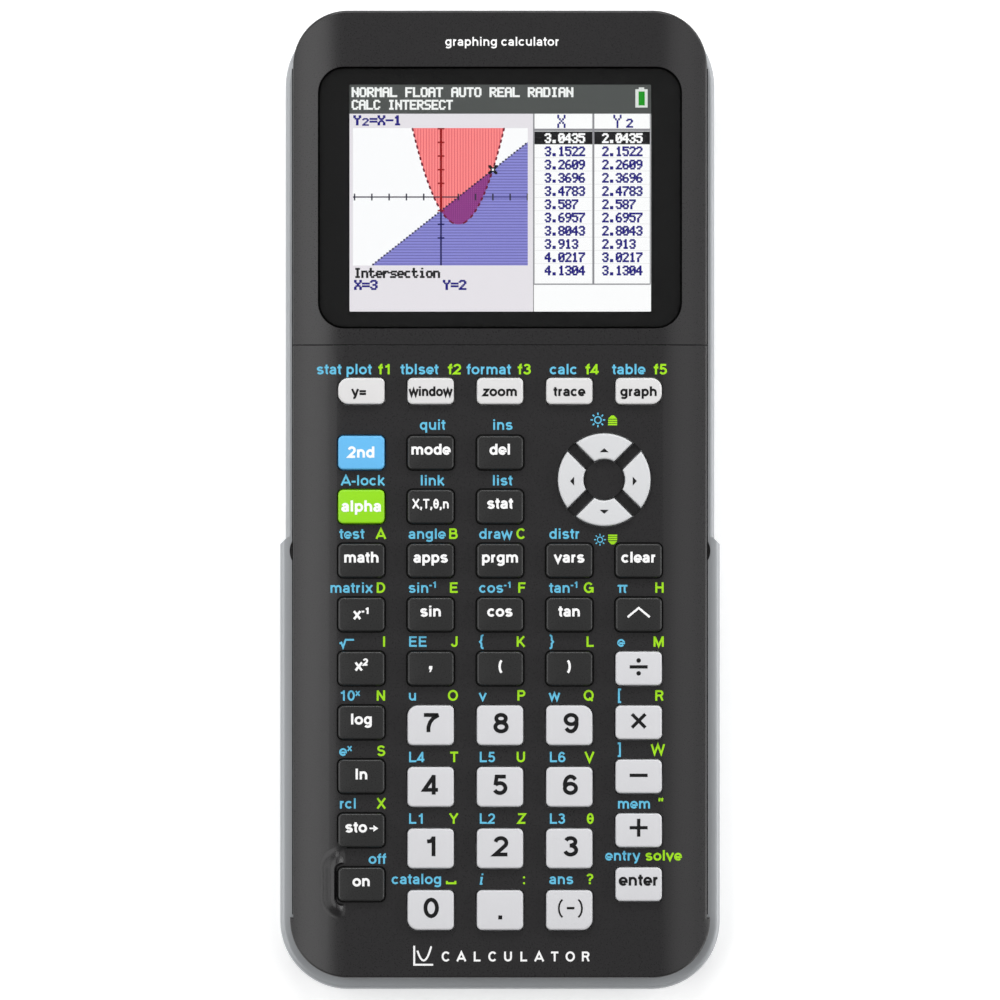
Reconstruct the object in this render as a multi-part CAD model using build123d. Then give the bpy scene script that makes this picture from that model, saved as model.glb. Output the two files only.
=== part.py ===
"""Handheld graphing calculator, modelled as the pieces it comes apart into. Millimetres.

The origin is the middle of the face it rests on. +Z is out of the keypad, +Y is towards the display and +X
is to the right of someone reading the display. The back cover is the wide tray. Two front covers close it: the
bezel holds the display window, and the keypad cover holds the keys. Each key slides in its own opening, kept in
by a flange under the cover, and presses a dome of one silicone mat that lies on the circuit board.
"""
from build123d import *
import math
import os

# ---- overall sizes
LENGTH = 186.0
HALF_LENGTH = LENGTH / 2
GRIP_HALF_WIDTH = 41.8
BACK_HALF_WIDTH = 40.75
FRONT_HALF_WIDTH = 39.33
FRONT_FOOT_HALF_WIDTH = 39.9
FRONT_BOTTOM_Y = -90.8
RAIL_END_Y = -79.3
SEAM_Y = 29.45
SEAM_GAP = 0.16
SHOULDER_Y = -7.0
SHOULDER_CHAMFER = 1.4
PAST_EVERYTHING = 100.0

# ---- heights above the table
BACK_FLOOR_Z = 0.5
BACK_INSIDE_Z = 2.0
PARTING_Z = 8.3
FACE_Z = 13.2
WALL = 1.6
KEY_TOP_Z = 14.6
KEY_TRAVEL = 1.0
FLANGE_TOP_Z = FACE_Z - WALL - 0.2
FLANGE_THICKNESS = 0.8
BOARD_BOTTOM_Z = 6.4
BOARD_TOP_Z = 7.4
MAT_THICKNESS = 0.8
MAT_TOP_Z = BOARD_TOP_Z + MAT_THICKNESS
DOME_TOP_Z = MAT_TOP_Z + KEY_TRAVEL + 0.3
MAT_END_Y = 27.0

# ---- the crown: the face is flat in the middle and rolls off towards both long edges
FLAT_HALF_WIDTH = 29.6
CROWN_RADIUS = 22.6

# ---- corner radii of the outlines
FRONT_TOP_CORNER = 10.4
FRONT_BOTTOM_CORNER = 11.0
BACK_TOP_CORNER = 14.0
BACK_BOTTOM_CORNER = 13.0

# ---- front covers: rim, seam tongue, screw posts and the guard beside the on key
RIM_FILLET = 0.45
TONGUE_HALF_WIDTH = 29.0
TONGUE_REACH = 1.2
TONGUE_ROOT = 1.5
TONGUE_THICKNESS = 0.8
TONGUE_GAP = 0.1
CROWN_POST_DROP = 0.7
GUARD_FOOT = dict(width=2.0, height=6.4, corners=(0.9, 0.5, 0.5, 0.9), offset=(-5.6, 0.0))
GUARD_CREST = dict(width=0.6, height=5.0, corners=(0.25, 0.25, 0.25, 0.25), offset=(-5.45, 0.0))
GUARD_ROOT_DEPTH = 1.0
GUARD_RISE = 0.7

# ---- display
WINDOW_CENTRE_Y = 57.45
WINDOW_WIDTH = 69.2
WINDOW_HEIGHT = 49.8
WINDOW_CORNER = 5.0
WINDOW_TOP_Z = 12.4
WINDOW_THICKNESS = 1.2
WINDOW_CLEARANCE = 0.1
WINDOW_EDGE_FILLET = 0.15
LEDGE_BOTTOM_Z = 10.6
LEDGE_WIDTH = 70.0
LEDGE_HEIGHT = 51.4
VIEW_WIDTH = 62.0
VIEW_HEIGHT = 46.0
VIEW_CORNER = 2.0
LCD_WIDTH = 66.0
LCD_HEIGHT = 48.6
LCD_CORNER = 1.0
LCD_TRAY_WALL = 0.4
LCD_GLASS_GAP = 0.1
LCD_GLASS_THICKNESS = 1.4
RIBBON_WIDTH, RIBBON_LENGTH, RIBBON_THICKNESS = 18.0, 3.0, 0.2

# ---- keys
COLUMN_PITCH = 13.17
ROW_PITCH = 10.25
FUNCTION_ROW_Y = 20.7
FIRST_ROW_Y = 9.0
NUMBER_ROW_Y = -42.8
NUMBER_PITCH = 11.7
KEY_WIDTH = 8.8
KEY_HEIGHT = 6.4
FUNCTION_KEY_HEIGHT = 5.0
NUMBER_KEY_HEIGHT = 7.55
KEY_CORNER = 0.95
WIDE_CORNER = 2.0
KEY_CLEARANCE = 0.25
FLANGE_WIDTH = 0.5
KEY_EDGE_FILLET = 0.32
KEY_DOME_RADIUS = 70.0
STEM_RADIUS = 1.5
PAD_CENTRE = (19.8, 3.86)
PAD_OUTER_RADIUS = 8.8
PAD_INNER_RADIUS = 3.95
PAD_CHANNEL = 2.3
PAD_RIB_DROP = 0.9
PAD_STEM_RADIUS_FROM_CENTRE = 6.3
DOME_FOOT_RADIUS = 2.3
DOME_HEAD_RADIUS = 1.7
DOME_WALL = 0.4
DOME_HOLLOW_HEIGHT = 1.5

# ---- fasteners
SCREW_PLACES = [(28, 86.6), (-28, 86.6), (35, 21), (-35, 21), (33, -82), (-33, -82)]
SCREW_SHANK_RADIUS = 1.0
SCREW_HEAD_RADIUS = 1.9
SCREW_HEAD_HEIGHT = 1.2
SCREW_SEAT_Z = 3.4
SCREW_TIP_Z = 10.4
PILOT_RADIUS = 1.05
CLEARANCE_HOLE_RADIUS = 1.2
COUNTERBORE_RADIUS = 2.1
FRONT_BOSS_RADIUS = 2.2
BACK_BOSS_RADIUS = 3.0
SCREW_TIP_SPACE = 0.3
SCREW_DRIVE_RADIUS = 0.85
SCREW_DRIVE_DEPTH = 0.6
DOOR_SCREW_PLACE = (0, -64.2)
DOOR_SCREW_TIP_Z = 5.6
DOOR_SCREW_HEAD_HEIGHT = 0.5
DOOR_COUNTERBORE_DEPTH = 0.55
DOOR_POST_RADIUS = 2.4

# ---- battery and its door
BATTERY_WIDTH, BATTERY_LENGTH, BATTERY_THICKNESS = 38.0, 48.0, 4.4
BATTERY_CENTRE_Y = -35.5
BATTERY_CORNER = 2.0
BATTERY_EDGE_FILLET = 0.6
BATTERY_GAP = 0.1
DOOR_WIDTH, DOOR_LENGTH, DOOR_THICKNESS = 42.0, 58.0, 1.2
DOOR_CENTRE_Y = -38.0
DOOR_CORNER = 3.0
DOOR_CLEARANCE = 0.12
DOOR_TOP_Z = BACK_FLOOR_Z + DOOR_THICKNESS
DOOR_GRIP_RADIUS, DOOR_GRIP_LENGTH, DOOR_GRIP_DEPTH, DOOR_GRIP_INSET = 6.0, 12.0, 0.6, 9.5
HOOK_SIDES = (-12, 12)
HOOK_HALF_WIDTH, HOOK_ROOT, HOOK_REACH, HOOK_THICKNESS = 3.0, 2.0, 1.4, 0.9
BAY_WALL = 1.2
BAY_CLEARANCE = 0.3
BAY_FLOOR_TOP_Z = 3.2

# ---- back cover
BACK_TOP_INSET = 0.3
SLIM_BOTTOM_INSET = 3.0
BACK_BOTTOM_ROUND = 3.6
BACK_RIM_ROUND = 0.9
BACK_HOLLOW_HALF_WIDTH = 37.5
BACK_HOLLOW_TOP_INSET, BACK_HOLLOW_BOTTOM_INSET = 2.6, 4.6
BACK_HOLLOW_CORNERS = (11.0, 11.0, 9.5, 9.5)
BACK_HOLLOW_ROUND = 2.2
FOOT_WIDTH, FOOT_LENGTH, FOOT_CORNER, FOOT_ROOT = 12.0, 3.4, 1.6, 0.4
FOOT_PLACES = [(-26, -80), (-26, 76), (26, -80), (26, 76)]
CATCH_CENTRE_Y, CATCH_RADIUS, CATCH_WIDTH, CATCH_BOTTOM_Z = -9.7, 3.8, 0.65, 7.0

# ---- circuit board, and the sockets in the right side wall
BOARD_BOTTOM_Y, BOARD_END_Y, BOARD_HALF_WIDTH, BOARD_CORNER = -84.0, 82.5, 31.6, 0.5
BOARD_NOTCH_PLACE, BOARD_NOTCH_SIZE = (33.0, -82.5), (8.0, 9.0)
USB_CENTRE_Y = 69.8
USB_WIDTH, USB_HEIGHT, USB_DEPTH = 7.7, 3.8, 9.2
USB_TIP_X = 39.9
USB_SHELL = 0.4
USB_MOUTH_DEPTH = 6.0
USB_TONGUE_HALF_WIDTH, USB_TONGUE_LENGTH, USB_TONGUE_THICKNESS = 2.2, 5.0, 0.8
LED_CENTRE_Y = 60.5
LED_RADIUS = 0.9
LED_DROP = 1.6
LED_TIP_X, LED_LENGTH = 40.5, 9.0
RESET_PLACE = (-14.0, 12.0)
RESET_HOLE_RADIUS = 1.0
RESET_BUTTON_RADIUS, RESET_BUTTON_HEIGHT = 0.8, 0.9
SIDE_OPENING_CLEARANCE = 0.3


def rounded(width, height, corners, centre=(0.0, 0.0)):
    """A rectangle whose corner radii are given as (top left, top right, bottom right, bottom left)."""
    sketch = Rectangle(width, height)
    signs = ((-1, 1), (1, 1), (1, -1), (-1, -1))
    for (sx, sy), radius in zip(signs, corners):
        if radius > 0:
            corner = sketch.vertices().sort_by_distance((sx * width / 2, sy * height / 2, 0))[0]
            sketch = fillet(corner, radius)
    return Pos(*centre) * sketch


def slab(sketch, bottom, top):
    """The sketch, made solid between two heights."""
    return extrude(Pos(0, 0, bottom) * sketch, amount=top - bottom)


def block(x0, x1, y0, y1, z0, z1):
    """A box between two corners."""
    return Pos((x0 + x1) / 2, (y0 + y1) / 2, (z0 + z1) / 2) * Box(x1 - x0, y1 - y0, z1 - z0)


def post(place, radius, z0, z1):
    """An upright cylinder."""
    return Pos(place[0], place[1], (z0 + z1) / 2) * Cylinder(radius, z1 - z0)


def across_part(y0, y1):
    """A box wider and taller than the whole part, between two places along it."""
    return block(-PAST_EVERYTHING, PAST_EVERYTHING, y0, y1, 0, PAST_EVERYTHING)


def between(y0, y1, half_width, corners):
    """A rounded rectangle about the long centre line, from y0 up to y1."""
    return rounded(2 * half_width, y1 - y0, corners, (0, (y0 + y1) / 2))


# ---- keys: what each is called, where it is and how large
def key_table():
    """{name: (centre x, centre y, width, height, corner radii)} of every key with a rectangular cap."""
    keys = {}

    def add(names, column, y, height, wide=()):
        for n, name in enumerate(names):
            corners = [KEY_CORNER] * 4
            for label, corner in wide:
                if label == name:
                    corners[corner] = WIDE_CORNER
            keys[name] = ((column + n) * COLUMN_PITCH, y, KEY_WIDTH, height, corners)

    add(["y_equals", "window", "zoom", "trace", "graph"], -2, FUNCTION_ROW_Y, FUNCTION_KEY_HEIGHT,
        [("y_equals", 0), ("y_equals", 3), ("graph", 1), ("graph", 2)])
    left = [["second", "mode", "delete"], ["alpha", "variable", "statistics"],
            ["math", "apps", "program", "vars", "clear"],
            ["reciprocal", "sine", "cosine", "tangent", "power"],
            ["square", "comma", "open_bracket", "close_bracket", "divide"],
            ["logarithm"], ["natural_log"], ["store"], ["on"]]
    for row, names in enumerate(left):
        add(names, -2, FIRST_ROW_Y - row * ROW_PITCH, KEY_HEIGHT)
    for row, name in enumerate(["multiply", "subtract", "add", "enter"]):
        add([name], 2, FIRST_ROW_Y - (row + 5) * ROW_PITCH, KEY_HEIGHT)
    numbers = [["7", "8", "9"], ["4", "5", "6"], ["1", "2", "3"], ["0", "decimal_point", "negate"]]
    for row, names in enumerate(numbers):
        add(names, -1, NUMBER_ROW_Y - row * NUMBER_PITCH, NUMBER_KEY_HEIGHT,
            [("7", 0), ("9", 1), ("negate", 2), ("0", 3)])
    return keys


KEYS = key_table()
ARROWS = {"arrow_right": 0, "arrow_up": 90, "arrow_left": 180, "arrow_down": 270}


def key_outline(name, grow=0.0):
    """The plan outline of a key, grown by an even margin."""
    if name in ARROWS:
        ring = Circle(PAD_OUTER_RADIUS + grow) - Circle(PAD_INNER_RADIUS - grow)
        for angle in (45, 135):
            ring -= Rot(0, 0, angle) * Rectangle(4 * PAD_OUTER_RADIUS, PAD_CHANNEL - 2 * grow)
        petals = ring.faces().sort_by_distance(petal_point(ARROWS[name]))
        return Pos(*PAD_CENTRE) * Sketch(petals[0].wrapped)
    x, y, width, height, corners = KEYS[name]
    return rounded(width + 2 * grow, height + 2 * grow, [c + grow for c in corners], (x, y))


def petal_point(angle):
    """The middle of an arrow petal, from the pad's centre."""
    turn = math.radians(angle)
    return (PAD_STEM_RADIUS_FROM_CENTRE * math.cos(turn), PAD_STEM_RADIUS_FROM_CENTRE * math.sin(turn), 0)


def key_centre(name):
    """Where a key's stem presses the mat."""
    if name in ARROWS:
        x, y, _ = petal_point(ARROWS[name])
        return PAD_CENTRE[0] + x, PAD_CENTRE[1] + y
    return KEYS[name][:2]


def key(name):
    """A cap with a gently domed top, a retaining flange and a stem."""
    x, y = key_centre(name)
    cap = slab(key_outline(name), FLANGE_TOP_Z, KEY_TOP_Z + 1)
    cap &= Pos(x, y, KEY_TOP_Z - KEY_DOME_RADIUS) * Sphere(KEY_DOME_RADIUS)
    rim = cap.faces().sort_by(Axis.Z)[-1].edges()
    cap = fillet(rim, KEY_EDGE_FILLET)
    flange = slab(key_outline(name, FLANGE_WIDTH), FLANGE_TOP_Z - FLANGE_THICKNESS, FLANGE_TOP_Z)
    stem = post((x, y), STEM_RADIUS, DOME_TOP_Z, FLANGE_TOP_Z - FLANGE_THICKNESS)
    return cap + flange + stem


# ---- front covers
def crown_solid(half_width, top, radius):
    """A long bar whose top is flat in the middle and rolls off along both sides."""
    drop = radius - math.sqrt(radius**2 - (half_width - FLAT_HALF_WIDTH) ** 2)
    middle = FLAT_HALF_WIDTH + (half_width - FLAT_HALF_WIDTH) / 2
    middle_drop = radius - math.sqrt(radius**2 - (middle - FLAT_HALF_WIDTH) ** 2)
    low, high = PARTING_Z, top
    outline = (
        Line((FLAT_HALF_WIDTH, high), (-FLAT_HALF_WIDTH, high))
        + ThreePointArc((-FLAT_HALF_WIDTH, high), (-middle, high - middle_drop), (-half_width, high - drop))
        + Polyline((-half_width, high - drop), (-half_width, low), (half_width, low),
                   (half_width, high - drop))
        + ThreePointArc((half_width, high - drop), (middle, high - middle_drop), (FLAT_HALF_WIDTH, high))
    )
    return extrude(Plane.XZ * make_face(outline), amount=LENGTH, both=True)


def front_outline():
    """The plan outline of both front covers together, with the small step where the side rails end."""
    top = between(RAIL_END_Y, HALF_LENGTH, FRONT_HALF_WIDTH, (FRONT_TOP_CORNER, FRONT_TOP_CORNER, 0, 0))
    foot = between(FRONT_BOTTOM_Y, FRONT_BOTTOM_Y + 2 * FRONT_BOTTOM_CORNER, FRONT_FOOT_HALF_WIDTH,
                   (0, 0, FRONT_BOTTOM_CORNER, FRONT_BOTTOM_CORNER))
    foot &= between(FRONT_BOTTOM_Y - 1, RAIL_END_Y, GRIP_HALF_WIDTH, (0, 0, 0, 0))
    return top + foot


def front_shell():
    """Both front covers as one hollow shell, before the seam parts them."""
    outside = crown_solid(GRIP_HALF_WIDTH, FACE_Z, CROWN_RADIUS)
    outside &= slab(front_outline(), PARTING_Z, FACE_Z + 1)
    outside = fillet(edges_of_rim(outside), RIM_FILLET)
    inner_plan = between(FRONT_BOTTOM_Y + WALL, HALF_LENGTH - WALL, FRONT_HALF_WIDTH - WALL,
                         (FRONT_TOP_CORNER - WALL, FRONT_TOP_CORNER - WALL,
                          FRONT_BOTTOM_CORNER - WALL, FRONT_BOTTOM_CORNER - WALL))
    inside = crown_solid(GRIP_HALF_WIDTH, FACE_Z - WALL, CROWN_RADIUS - WALL)
    inside &= slab(inner_plan, PARTING_Z, FACE_Z)
    shell = outside - inside
    for place in SCREW_PLACES:
        drop = 0 if abs(place[0]) < FLAT_HALF_WIDTH else CROWN_POST_DROP
        shell += post(place, FRONT_BOSS_RADIUS, PARTING_Z, FACE_Z - WALL - drop)
        shell -= post(place, PILOT_RADIUS, PARTING_Z, SCREW_TIP_Z + SCREW_TIP_SPACE)
    return shell


def edges_of_rim(solid):
    """The edges between the crowned top and the upright side wall."""
    side = [f for f in solid.faces() if abs(f.normal_at(f.center()).Z) < 0.01 and f.center().Z < FACE_Z]
    tops = [f for f in solid.faces() if f.normal_at(f.center()).Z > 0.5]
    rim = []
    for face in tops:
        for edge in face.edges():
            if any(edge.is_same(other) for wall in side for other in wall.edges()):
                rim.append(edge)
    return rim


def front_bezel(shell):
    """The upper front cover, with the stepped opening that the display window drops into."""
    bezel = shell & across_part(SEAM_Y + SEAM_GAP / 2, PAST_EVERYTHING)
    centre = (0, WINDOW_CENTRE_Y)
    corners = [WINDOW_CORNER] * 4
    bezel += slab(rounded(LEDGE_WIDTH, LEDGE_HEIGHT, corners, centre), LEDGE_BOTTOM_Z, FACE_Z - WALL)
    seat = WINDOW_TOP_Z - WINDOW_THICKNESS
    bezel -= slab(rounded(WINDOW_WIDTH, WINDOW_HEIGHT, corners, centre), seat, FACE_Z)
    bezel -= slab(rounded(VIEW_WIDTH, VIEW_HEIGHT, [VIEW_CORNER] * 4, centre), 0, FACE_Z)
    half_width, ceiling = TONGUE_HALF_WIDTH, FACE_Z - WALL
    low, high = ceiling - TONGUE_GAP - TONGUE_THICKNESS, ceiling - TONGUE_GAP
    tongue = block(-half_width, half_width, SEAM_Y - TONGUE_REACH, SEAM_Y + TONGUE_ROOT, low, high)
    root = block(-half_width, half_width, SEAM_Y + SEAM_GAP, SEAM_Y + TONGUE_ROOT, low, ceiling + TONGUE_GAP)
    return bezel + tongue + root


def on_key_guard():
    """A raised bank round the outer side of the on key, which keeps it from being pressed by accident."""
    x, y = key_centre("on")
    sections = []
    for shape, z in ((GUARD_FOOT, FACE_Z - GUARD_ROOT_DEPTH), (GUARD_CREST, FACE_Z + GUARD_RISE)):
        centre = (x + shape["offset"][0], y + shape["offset"][1])
        sections.append(Pos(0, 0, z) * rounded(shape["width"], shape["height"], shape["corners"], centre))
    return loft(Sketch() + sections)


def keypad_cover(shell):
    """The lower front cover, with one opening for each key and the ribbed well of the arrow pad."""
    cover = shell & across_part(-PAST_EVERYTHING, SEAM_Y - SEAM_GAP / 2)
    cover += on_key_guard()
    openings = [slab(key_outline(name, KEY_CLEARANCE), FACE_Z - 2 * WALL, KEY_TOP_Z)
                for name in list(KEYS) + list(ARROWS)]
    well = Circle(PAD_OUTER_RADIUS + KEY_CLEARANCE) - Circle(PAD_INNER_RADIUS - KEY_CLEARANCE)
    openings.append(slab(Pos(*PAD_CENTRE) * well, FACE_Z - PAD_RIB_DROP, KEY_TOP_Z))
    return cover - openings


def display_window():
    """The clear lens over the display."""
    corner = WINDOW_CORNER - WINDOW_CLEARANCE
    outline = rounded(WINDOW_WIDTH - 2 * WINDOW_CLEARANCE, WINDOW_HEIGHT - 2 * WINDOW_CLEARANCE, [corner] * 4,
                      (0, WINDOW_CENTRE_Y))
    lens = slab(outline, WINDOW_TOP_Z - WINDOW_THICKNESS, WINDOW_TOP_Z)
    return fillet(lens.faces().sort_by(Axis.Z)[-1].edges(), WINDOW_EDGE_FILLET)


def lcd_module():
    """The display: a steel tray with the backlight, the glass panel, and the ribbon down to the board."""
    y = WINDOW_CENTRE_Y
    seat = LEDGE_BOTTOM_Z - LCD_GLASS_THICKNESS
    corners = [LCD_CORNER] * 4
    width, height = LCD_WIDTH - 2 * LCD_TRAY_WALL, LCD_HEIGHT - 2 * LCD_TRAY_WALL
    tray = slab(rounded(LCD_WIDTH, LCD_HEIGHT, corners, (0, y)), BOARD_TOP_Z, LEDGE_BOTTOM_Z)
    tray -= slab(rounded(width, height, corners, (0, y)), seat, FACE_Z)
    glass = slab(Pos(0, y) * Rectangle(width - 2 * LCD_GLASS_GAP, height - 2 * LCD_GLASS_GAP), seat,
                 LEDGE_BOTTOM_Z - LCD_GLASS_GAP / 2)
    low = y - LCD_HEIGHT / 2
    ribbon = block(-RIBBON_WIDTH / 2, RIBBON_WIDTH / 2, low - RIBBON_LENGTH, low, BOARD_TOP_Z,
                   BOARD_TOP_Z + RIBBON_THICKNESS)
    return [tray, glass, ribbon]


# ---- inside
def key_mat():
    """One silicone sheet with a hollow dome under each key."""
    mat = slab(board_outline(MAT_END_Y), BOARD_TOP_Z, MAT_TOP_Z)
    height = DOME_TOP_Z - MAT_TOP_Z
    domes, hollows = [], []
    for name in list(KEYS) + list(ARROWS):
        x, y = key_centre(name)
        domes.append(Pos(x, y, MAT_TOP_Z + height / 2) * Cone(DOME_FOOT_RADIUS, DOME_HEAD_RADIUS, height))
        hollow = Cone(DOME_FOOT_RADIUS - DOME_WALL, DOME_HEAD_RADIUS - DOME_WALL, DOME_HOLLOW_HEIGHT)
        hollows.append(Pos(x, y, BOARD_TOP_Z + DOME_HOLLOW_HEIGHT / 2) * hollow)
    return mat + domes - hollows


def board_outline(top_y):
    """The board's plan outline up to top_y, notched at the lower screw bosses."""
    outline = between(BOARD_BOTTOM_Y, top_y, BOARD_HALF_WIDTH, [BOARD_CORNER] * 4)
    x, y = BOARD_NOTCH_PLACE
    for side in (-1, 1):
        outline -= Pos(side * x, y) * Rectangle(*BOARD_NOTCH_SIZE)
    return outline


def charging_socket(low):
    """The socket's shell under the board, open at the side wall, with the tongue inside."""
    y0, y1 = USB_CENTRE_Y - USB_WIDTH / 2, USB_CENTRE_Y + USB_WIDTH / 2
    shell = block(USB_TIP_X - USB_DEPTH, USB_TIP_X, y0, y1, low - USB_HEIGHT, low)
    mouth = block(USB_TIP_X - USB_MOUTH_DEPTH, USB_TIP_X + 1, y0 + USB_SHELL, y1 - USB_SHELL,
                  low - USB_HEIGHT + USB_SHELL, low - USB_SHELL)
    root, middle = USB_TIP_X - USB_MOUTH_DEPTH - USB_SHELL / 2, low - USB_HEIGHT / 2
    tongue = block(root, root + USB_TONGUE_LENGTH, USB_CENTRE_Y - USB_TONGUE_HALF_WIDTH,
                   USB_CENTRE_Y + USB_TONGUE_HALF_WIDTH, middle - USB_TONGUE_THICKNESS / 2,
                   middle + USB_TONGUE_THICKNESS / 2)
    return shell - mouth + tongue


def charging_light(low):
    """The small light beside the socket: a body under the board and a clear rod out to the side wall."""
    light = Pos(LED_TIP_X - LED_LENGTH / 2, LED_CENTRE_Y, low - LED_DROP) * Rot(0, 90, 0) * Cylinder(
        LED_RADIUS - 0.1, LED_LENGTH)
    return light + block(29.0, BOARD_HALF_WIDTH, LED_CENTRE_Y - 1.2, LED_CENTRE_Y + 1.2, low - 2.6, low)


def circuit_board():
    """The board with what is soldered to it: socket, charging light, reset switch, chips and shield can."""
    low = BOARD_BOTTOM_Z
    switch_height = 2.0
    board = slab(board_outline(BOARD_END_Y), BOARD_BOTTOM_Z, BOARD_TOP_Z)
    processor = block(-9, 9, 34, 50, low - 1.4, low)
    memory = block(-24, -14, 38, 50, low - 1.0, low)
    power_chip = block(14, 26, 36, 46, low - 1.0, low)
    shield_can = block(-20, 14, 56, 74, low - 2.2, low)
    battery_plug = block(8, 18, 2, 7, low - 2.4, low)
    x, y = RESET_PLACE
    reset_switch = block(x - 3, x + 3, y - 3, y + 3, low - switch_height, low)
    reset_button = post(RESET_PLACE, RESET_BUTTON_RADIUS, low - switch_height - RESET_BUTTON_HEIGHT,
                        low - switch_height)
    return [board, charging_socket(low), charging_light(low), reset_button, processor, memory, power_chip,
            shield_can, reset_switch, battery_plug]


def battery_pack():
    """A flat lithium cell with rounded edges, and its pull tab."""
    y = BATTERY_CENTRE_Y
    low = DOOR_TOP_Z + BATTERY_GAP
    corners = [BATTERY_CORNER] * 4
    cell = slab(rounded(BATTERY_WIDTH, BATTERY_LENGTH, corners, (0, y)), low, low + BATTERY_THICKNESS)
    cell = fillet(cell.edges().filter_by(Plane.XY), BATTERY_EDGE_FILLET)
    end = y - BATTERY_LENGTH / 2
    pull_tab = block(-5, 5, end + 4, end + 10, low - 0.8 * BATTERY_GAP, low)
    return [cell, pull_tab]


def battery_door():
    """The lid over the battery: it hooks in at one end and a screw holds the other."""
    y = DOOR_CENTRE_Y
    door = slab(rounded(DOOR_WIDTH - 2 * DOOR_CLEARANCE, DOOR_LENGTH - 2 * DOOR_CLEARANCE, [DOOR_CORNER] * 4,
                        (0, y)), BACK_FLOOR_Z, DOOR_TOP_Z)
    door -= post(DOOR_SCREW_PLACE, CLEARANCE_HOLE_RADIUS, 0, DOOR_TOP_Z + 1)
    door -= post(DOOR_SCREW_PLACE, COUNTERBORE_RADIUS, 0, BACK_FLOOR_Z + DOOR_COUNTERBORE_DEPTH)
    grip_z = BACK_FLOOR_Z + DOOR_GRIP_DEPTH - DOOR_GRIP_RADIUS
    grip = Cylinder(DOOR_GRIP_RADIUS, DOOR_GRIP_LENGTH)
    grip = Pos(0, y - DOOR_LENGTH / 2 + DOOR_GRIP_INSET, grip_z) * Rot(0, 90, 0) * grip
    return door - grip + door_hooks(0)


def door_hooks(clearance):
    """The two hooks at the door's upper end, grown by a clearance for the slots that take them."""
    y = DOOR_CENTRE_Y + DOOR_LENGTH / 2
    half_width = HOOK_HALF_WIDTH + clearance
    bottom, top = DOOR_TOP_Z - clearance / 3, DOOR_TOP_Z + HOOK_THICKNESS + clearance / 1.5
    return [block(side - half_width, side + half_width, y - HOOK_ROOT - clearance, y + HOOK_REACH + clearance,
                  bottom, top) for side in HOOK_SIDES]


def case_screws():
    """Six case screws and the shorter one of the battery door, all with the same head."""
    screws = [screw(place, SCREW_SEAT_Z - SCREW_HEAD_HEIGHT, SCREW_TIP_Z) for place in SCREW_PLACES]
    bottom = BACK_FLOOR_Z + DOOR_COUNTERBORE_DEPTH - DOOR_SCREW_HEAD_HEIGHT
    return screws + [screw(DOOR_SCREW_PLACE, bottom, DOOR_SCREW_TIP_Z, DOOR_SCREW_HEAD_HEIGHT)]


def screw(place, bottom, tip, head_height=SCREW_HEAD_HEIGHT):
    """A pan head with a six-sided drive, and its shank, pointing up from the back."""
    body = post(place, SCREW_HEAD_RADIUS, bottom, bottom + head_height)
    body += post(place, SCREW_SHANK_RADIUS, bottom + head_height, tip)
    drive = Pos(place[0], place[1], bottom) * RegularPolygon(SCREW_DRIVE_RADIUS, 6)
    return body - extrude(drive, amount=SCREW_DRIVE_DEPTH * head_height)


# ---- back cover
def back_outside():
    """The tray's outer form: a slim upper half, and a wider grip from the shoulders down."""
    slim = between(-HALF_LENGTH + SLIM_BOTTOM_INSET, HALF_LENGTH - BACK_TOP_INSET, BACK_HALF_WIDTH,
                   (BACK_TOP_CORNER, BACK_TOP_CORNER, BACK_BOTTOM_CORNER, BACK_BOTTOM_CORNER))
    grip = between(-HALF_LENGTH, SHOULDER_Y + 20, GRIP_HALF_WIDTH,
                   (0, 0, BACK_BOTTOM_CORNER, BACK_BOTTOM_CORNER))
    kept = between(-HALF_LENGTH - 1, SHOULDER_Y, GRIP_HALF_WIDTH, (0, 0, 0, 0))
    kept = chamfer([v for v in kept.vertices() if v.Y > SHOULDER_Y - 1], SHOULDER_CHAMFER)
    return rounded_tray(slim) + (rounded_tray(grip) & slab(kept, 0, PARTING_Z + 1))


def rounded_tray(outline):
    """An outline made solid, with a broad round along the bottom edge and a small one along the top."""
    solid = slab(outline, BACK_FLOOR_Z, PARTING_Z)
    solid = fillet(solid.faces().sort_by(Axis.Z)[0].edges(), BACK_BOTTOM_ROUND)
    return fillet(solid.faces().sort_by(Axis.Z)[-1].edges(), BACK_RIM_ROUND)


def feet_pads():
    """Four low pads moulded into the back, which the calculator rests on."""
    return [slab(rounded(FOOT_WIDTH, FOOT_LENGTH, [FOOT_CORNER] * 4, place), 0, BACK_FLOOR_Z + FOOT_ROOT)
            for place in FOOT_PLACES]


def battery_bay():
    """The walls and floor round the battery, and the post of the door's screw."""
    margin = 2 * (BAY_CLEARANCE + BAY_WALL)
    floor = rounded(DOOR_WIDTH + 4, DOOR_LENGTH + 5, [DOOR_CORNER] * 4, (0, DOOR_CENTRE_Y))
    walls = rounded(BATTERY_WIDTH + margin, BATTERY_LENGTH + margin, [BATTERY_CORNER] * 4,
                    (0, BATTERY_CENTRE_Y))
    return [slab(floor, BACK_FLOOR_Z, BAY_FLOOR_TOP_Z), slab(walls, BACK_FLOOR_Z, BOARD_BOTTOM_Z),
            post(DOOR_SCREW_PLACE, DOOR_POST_RADIUS, BACK_FLOOR_Z, BOARD_BOTTOM_Z)]


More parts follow.
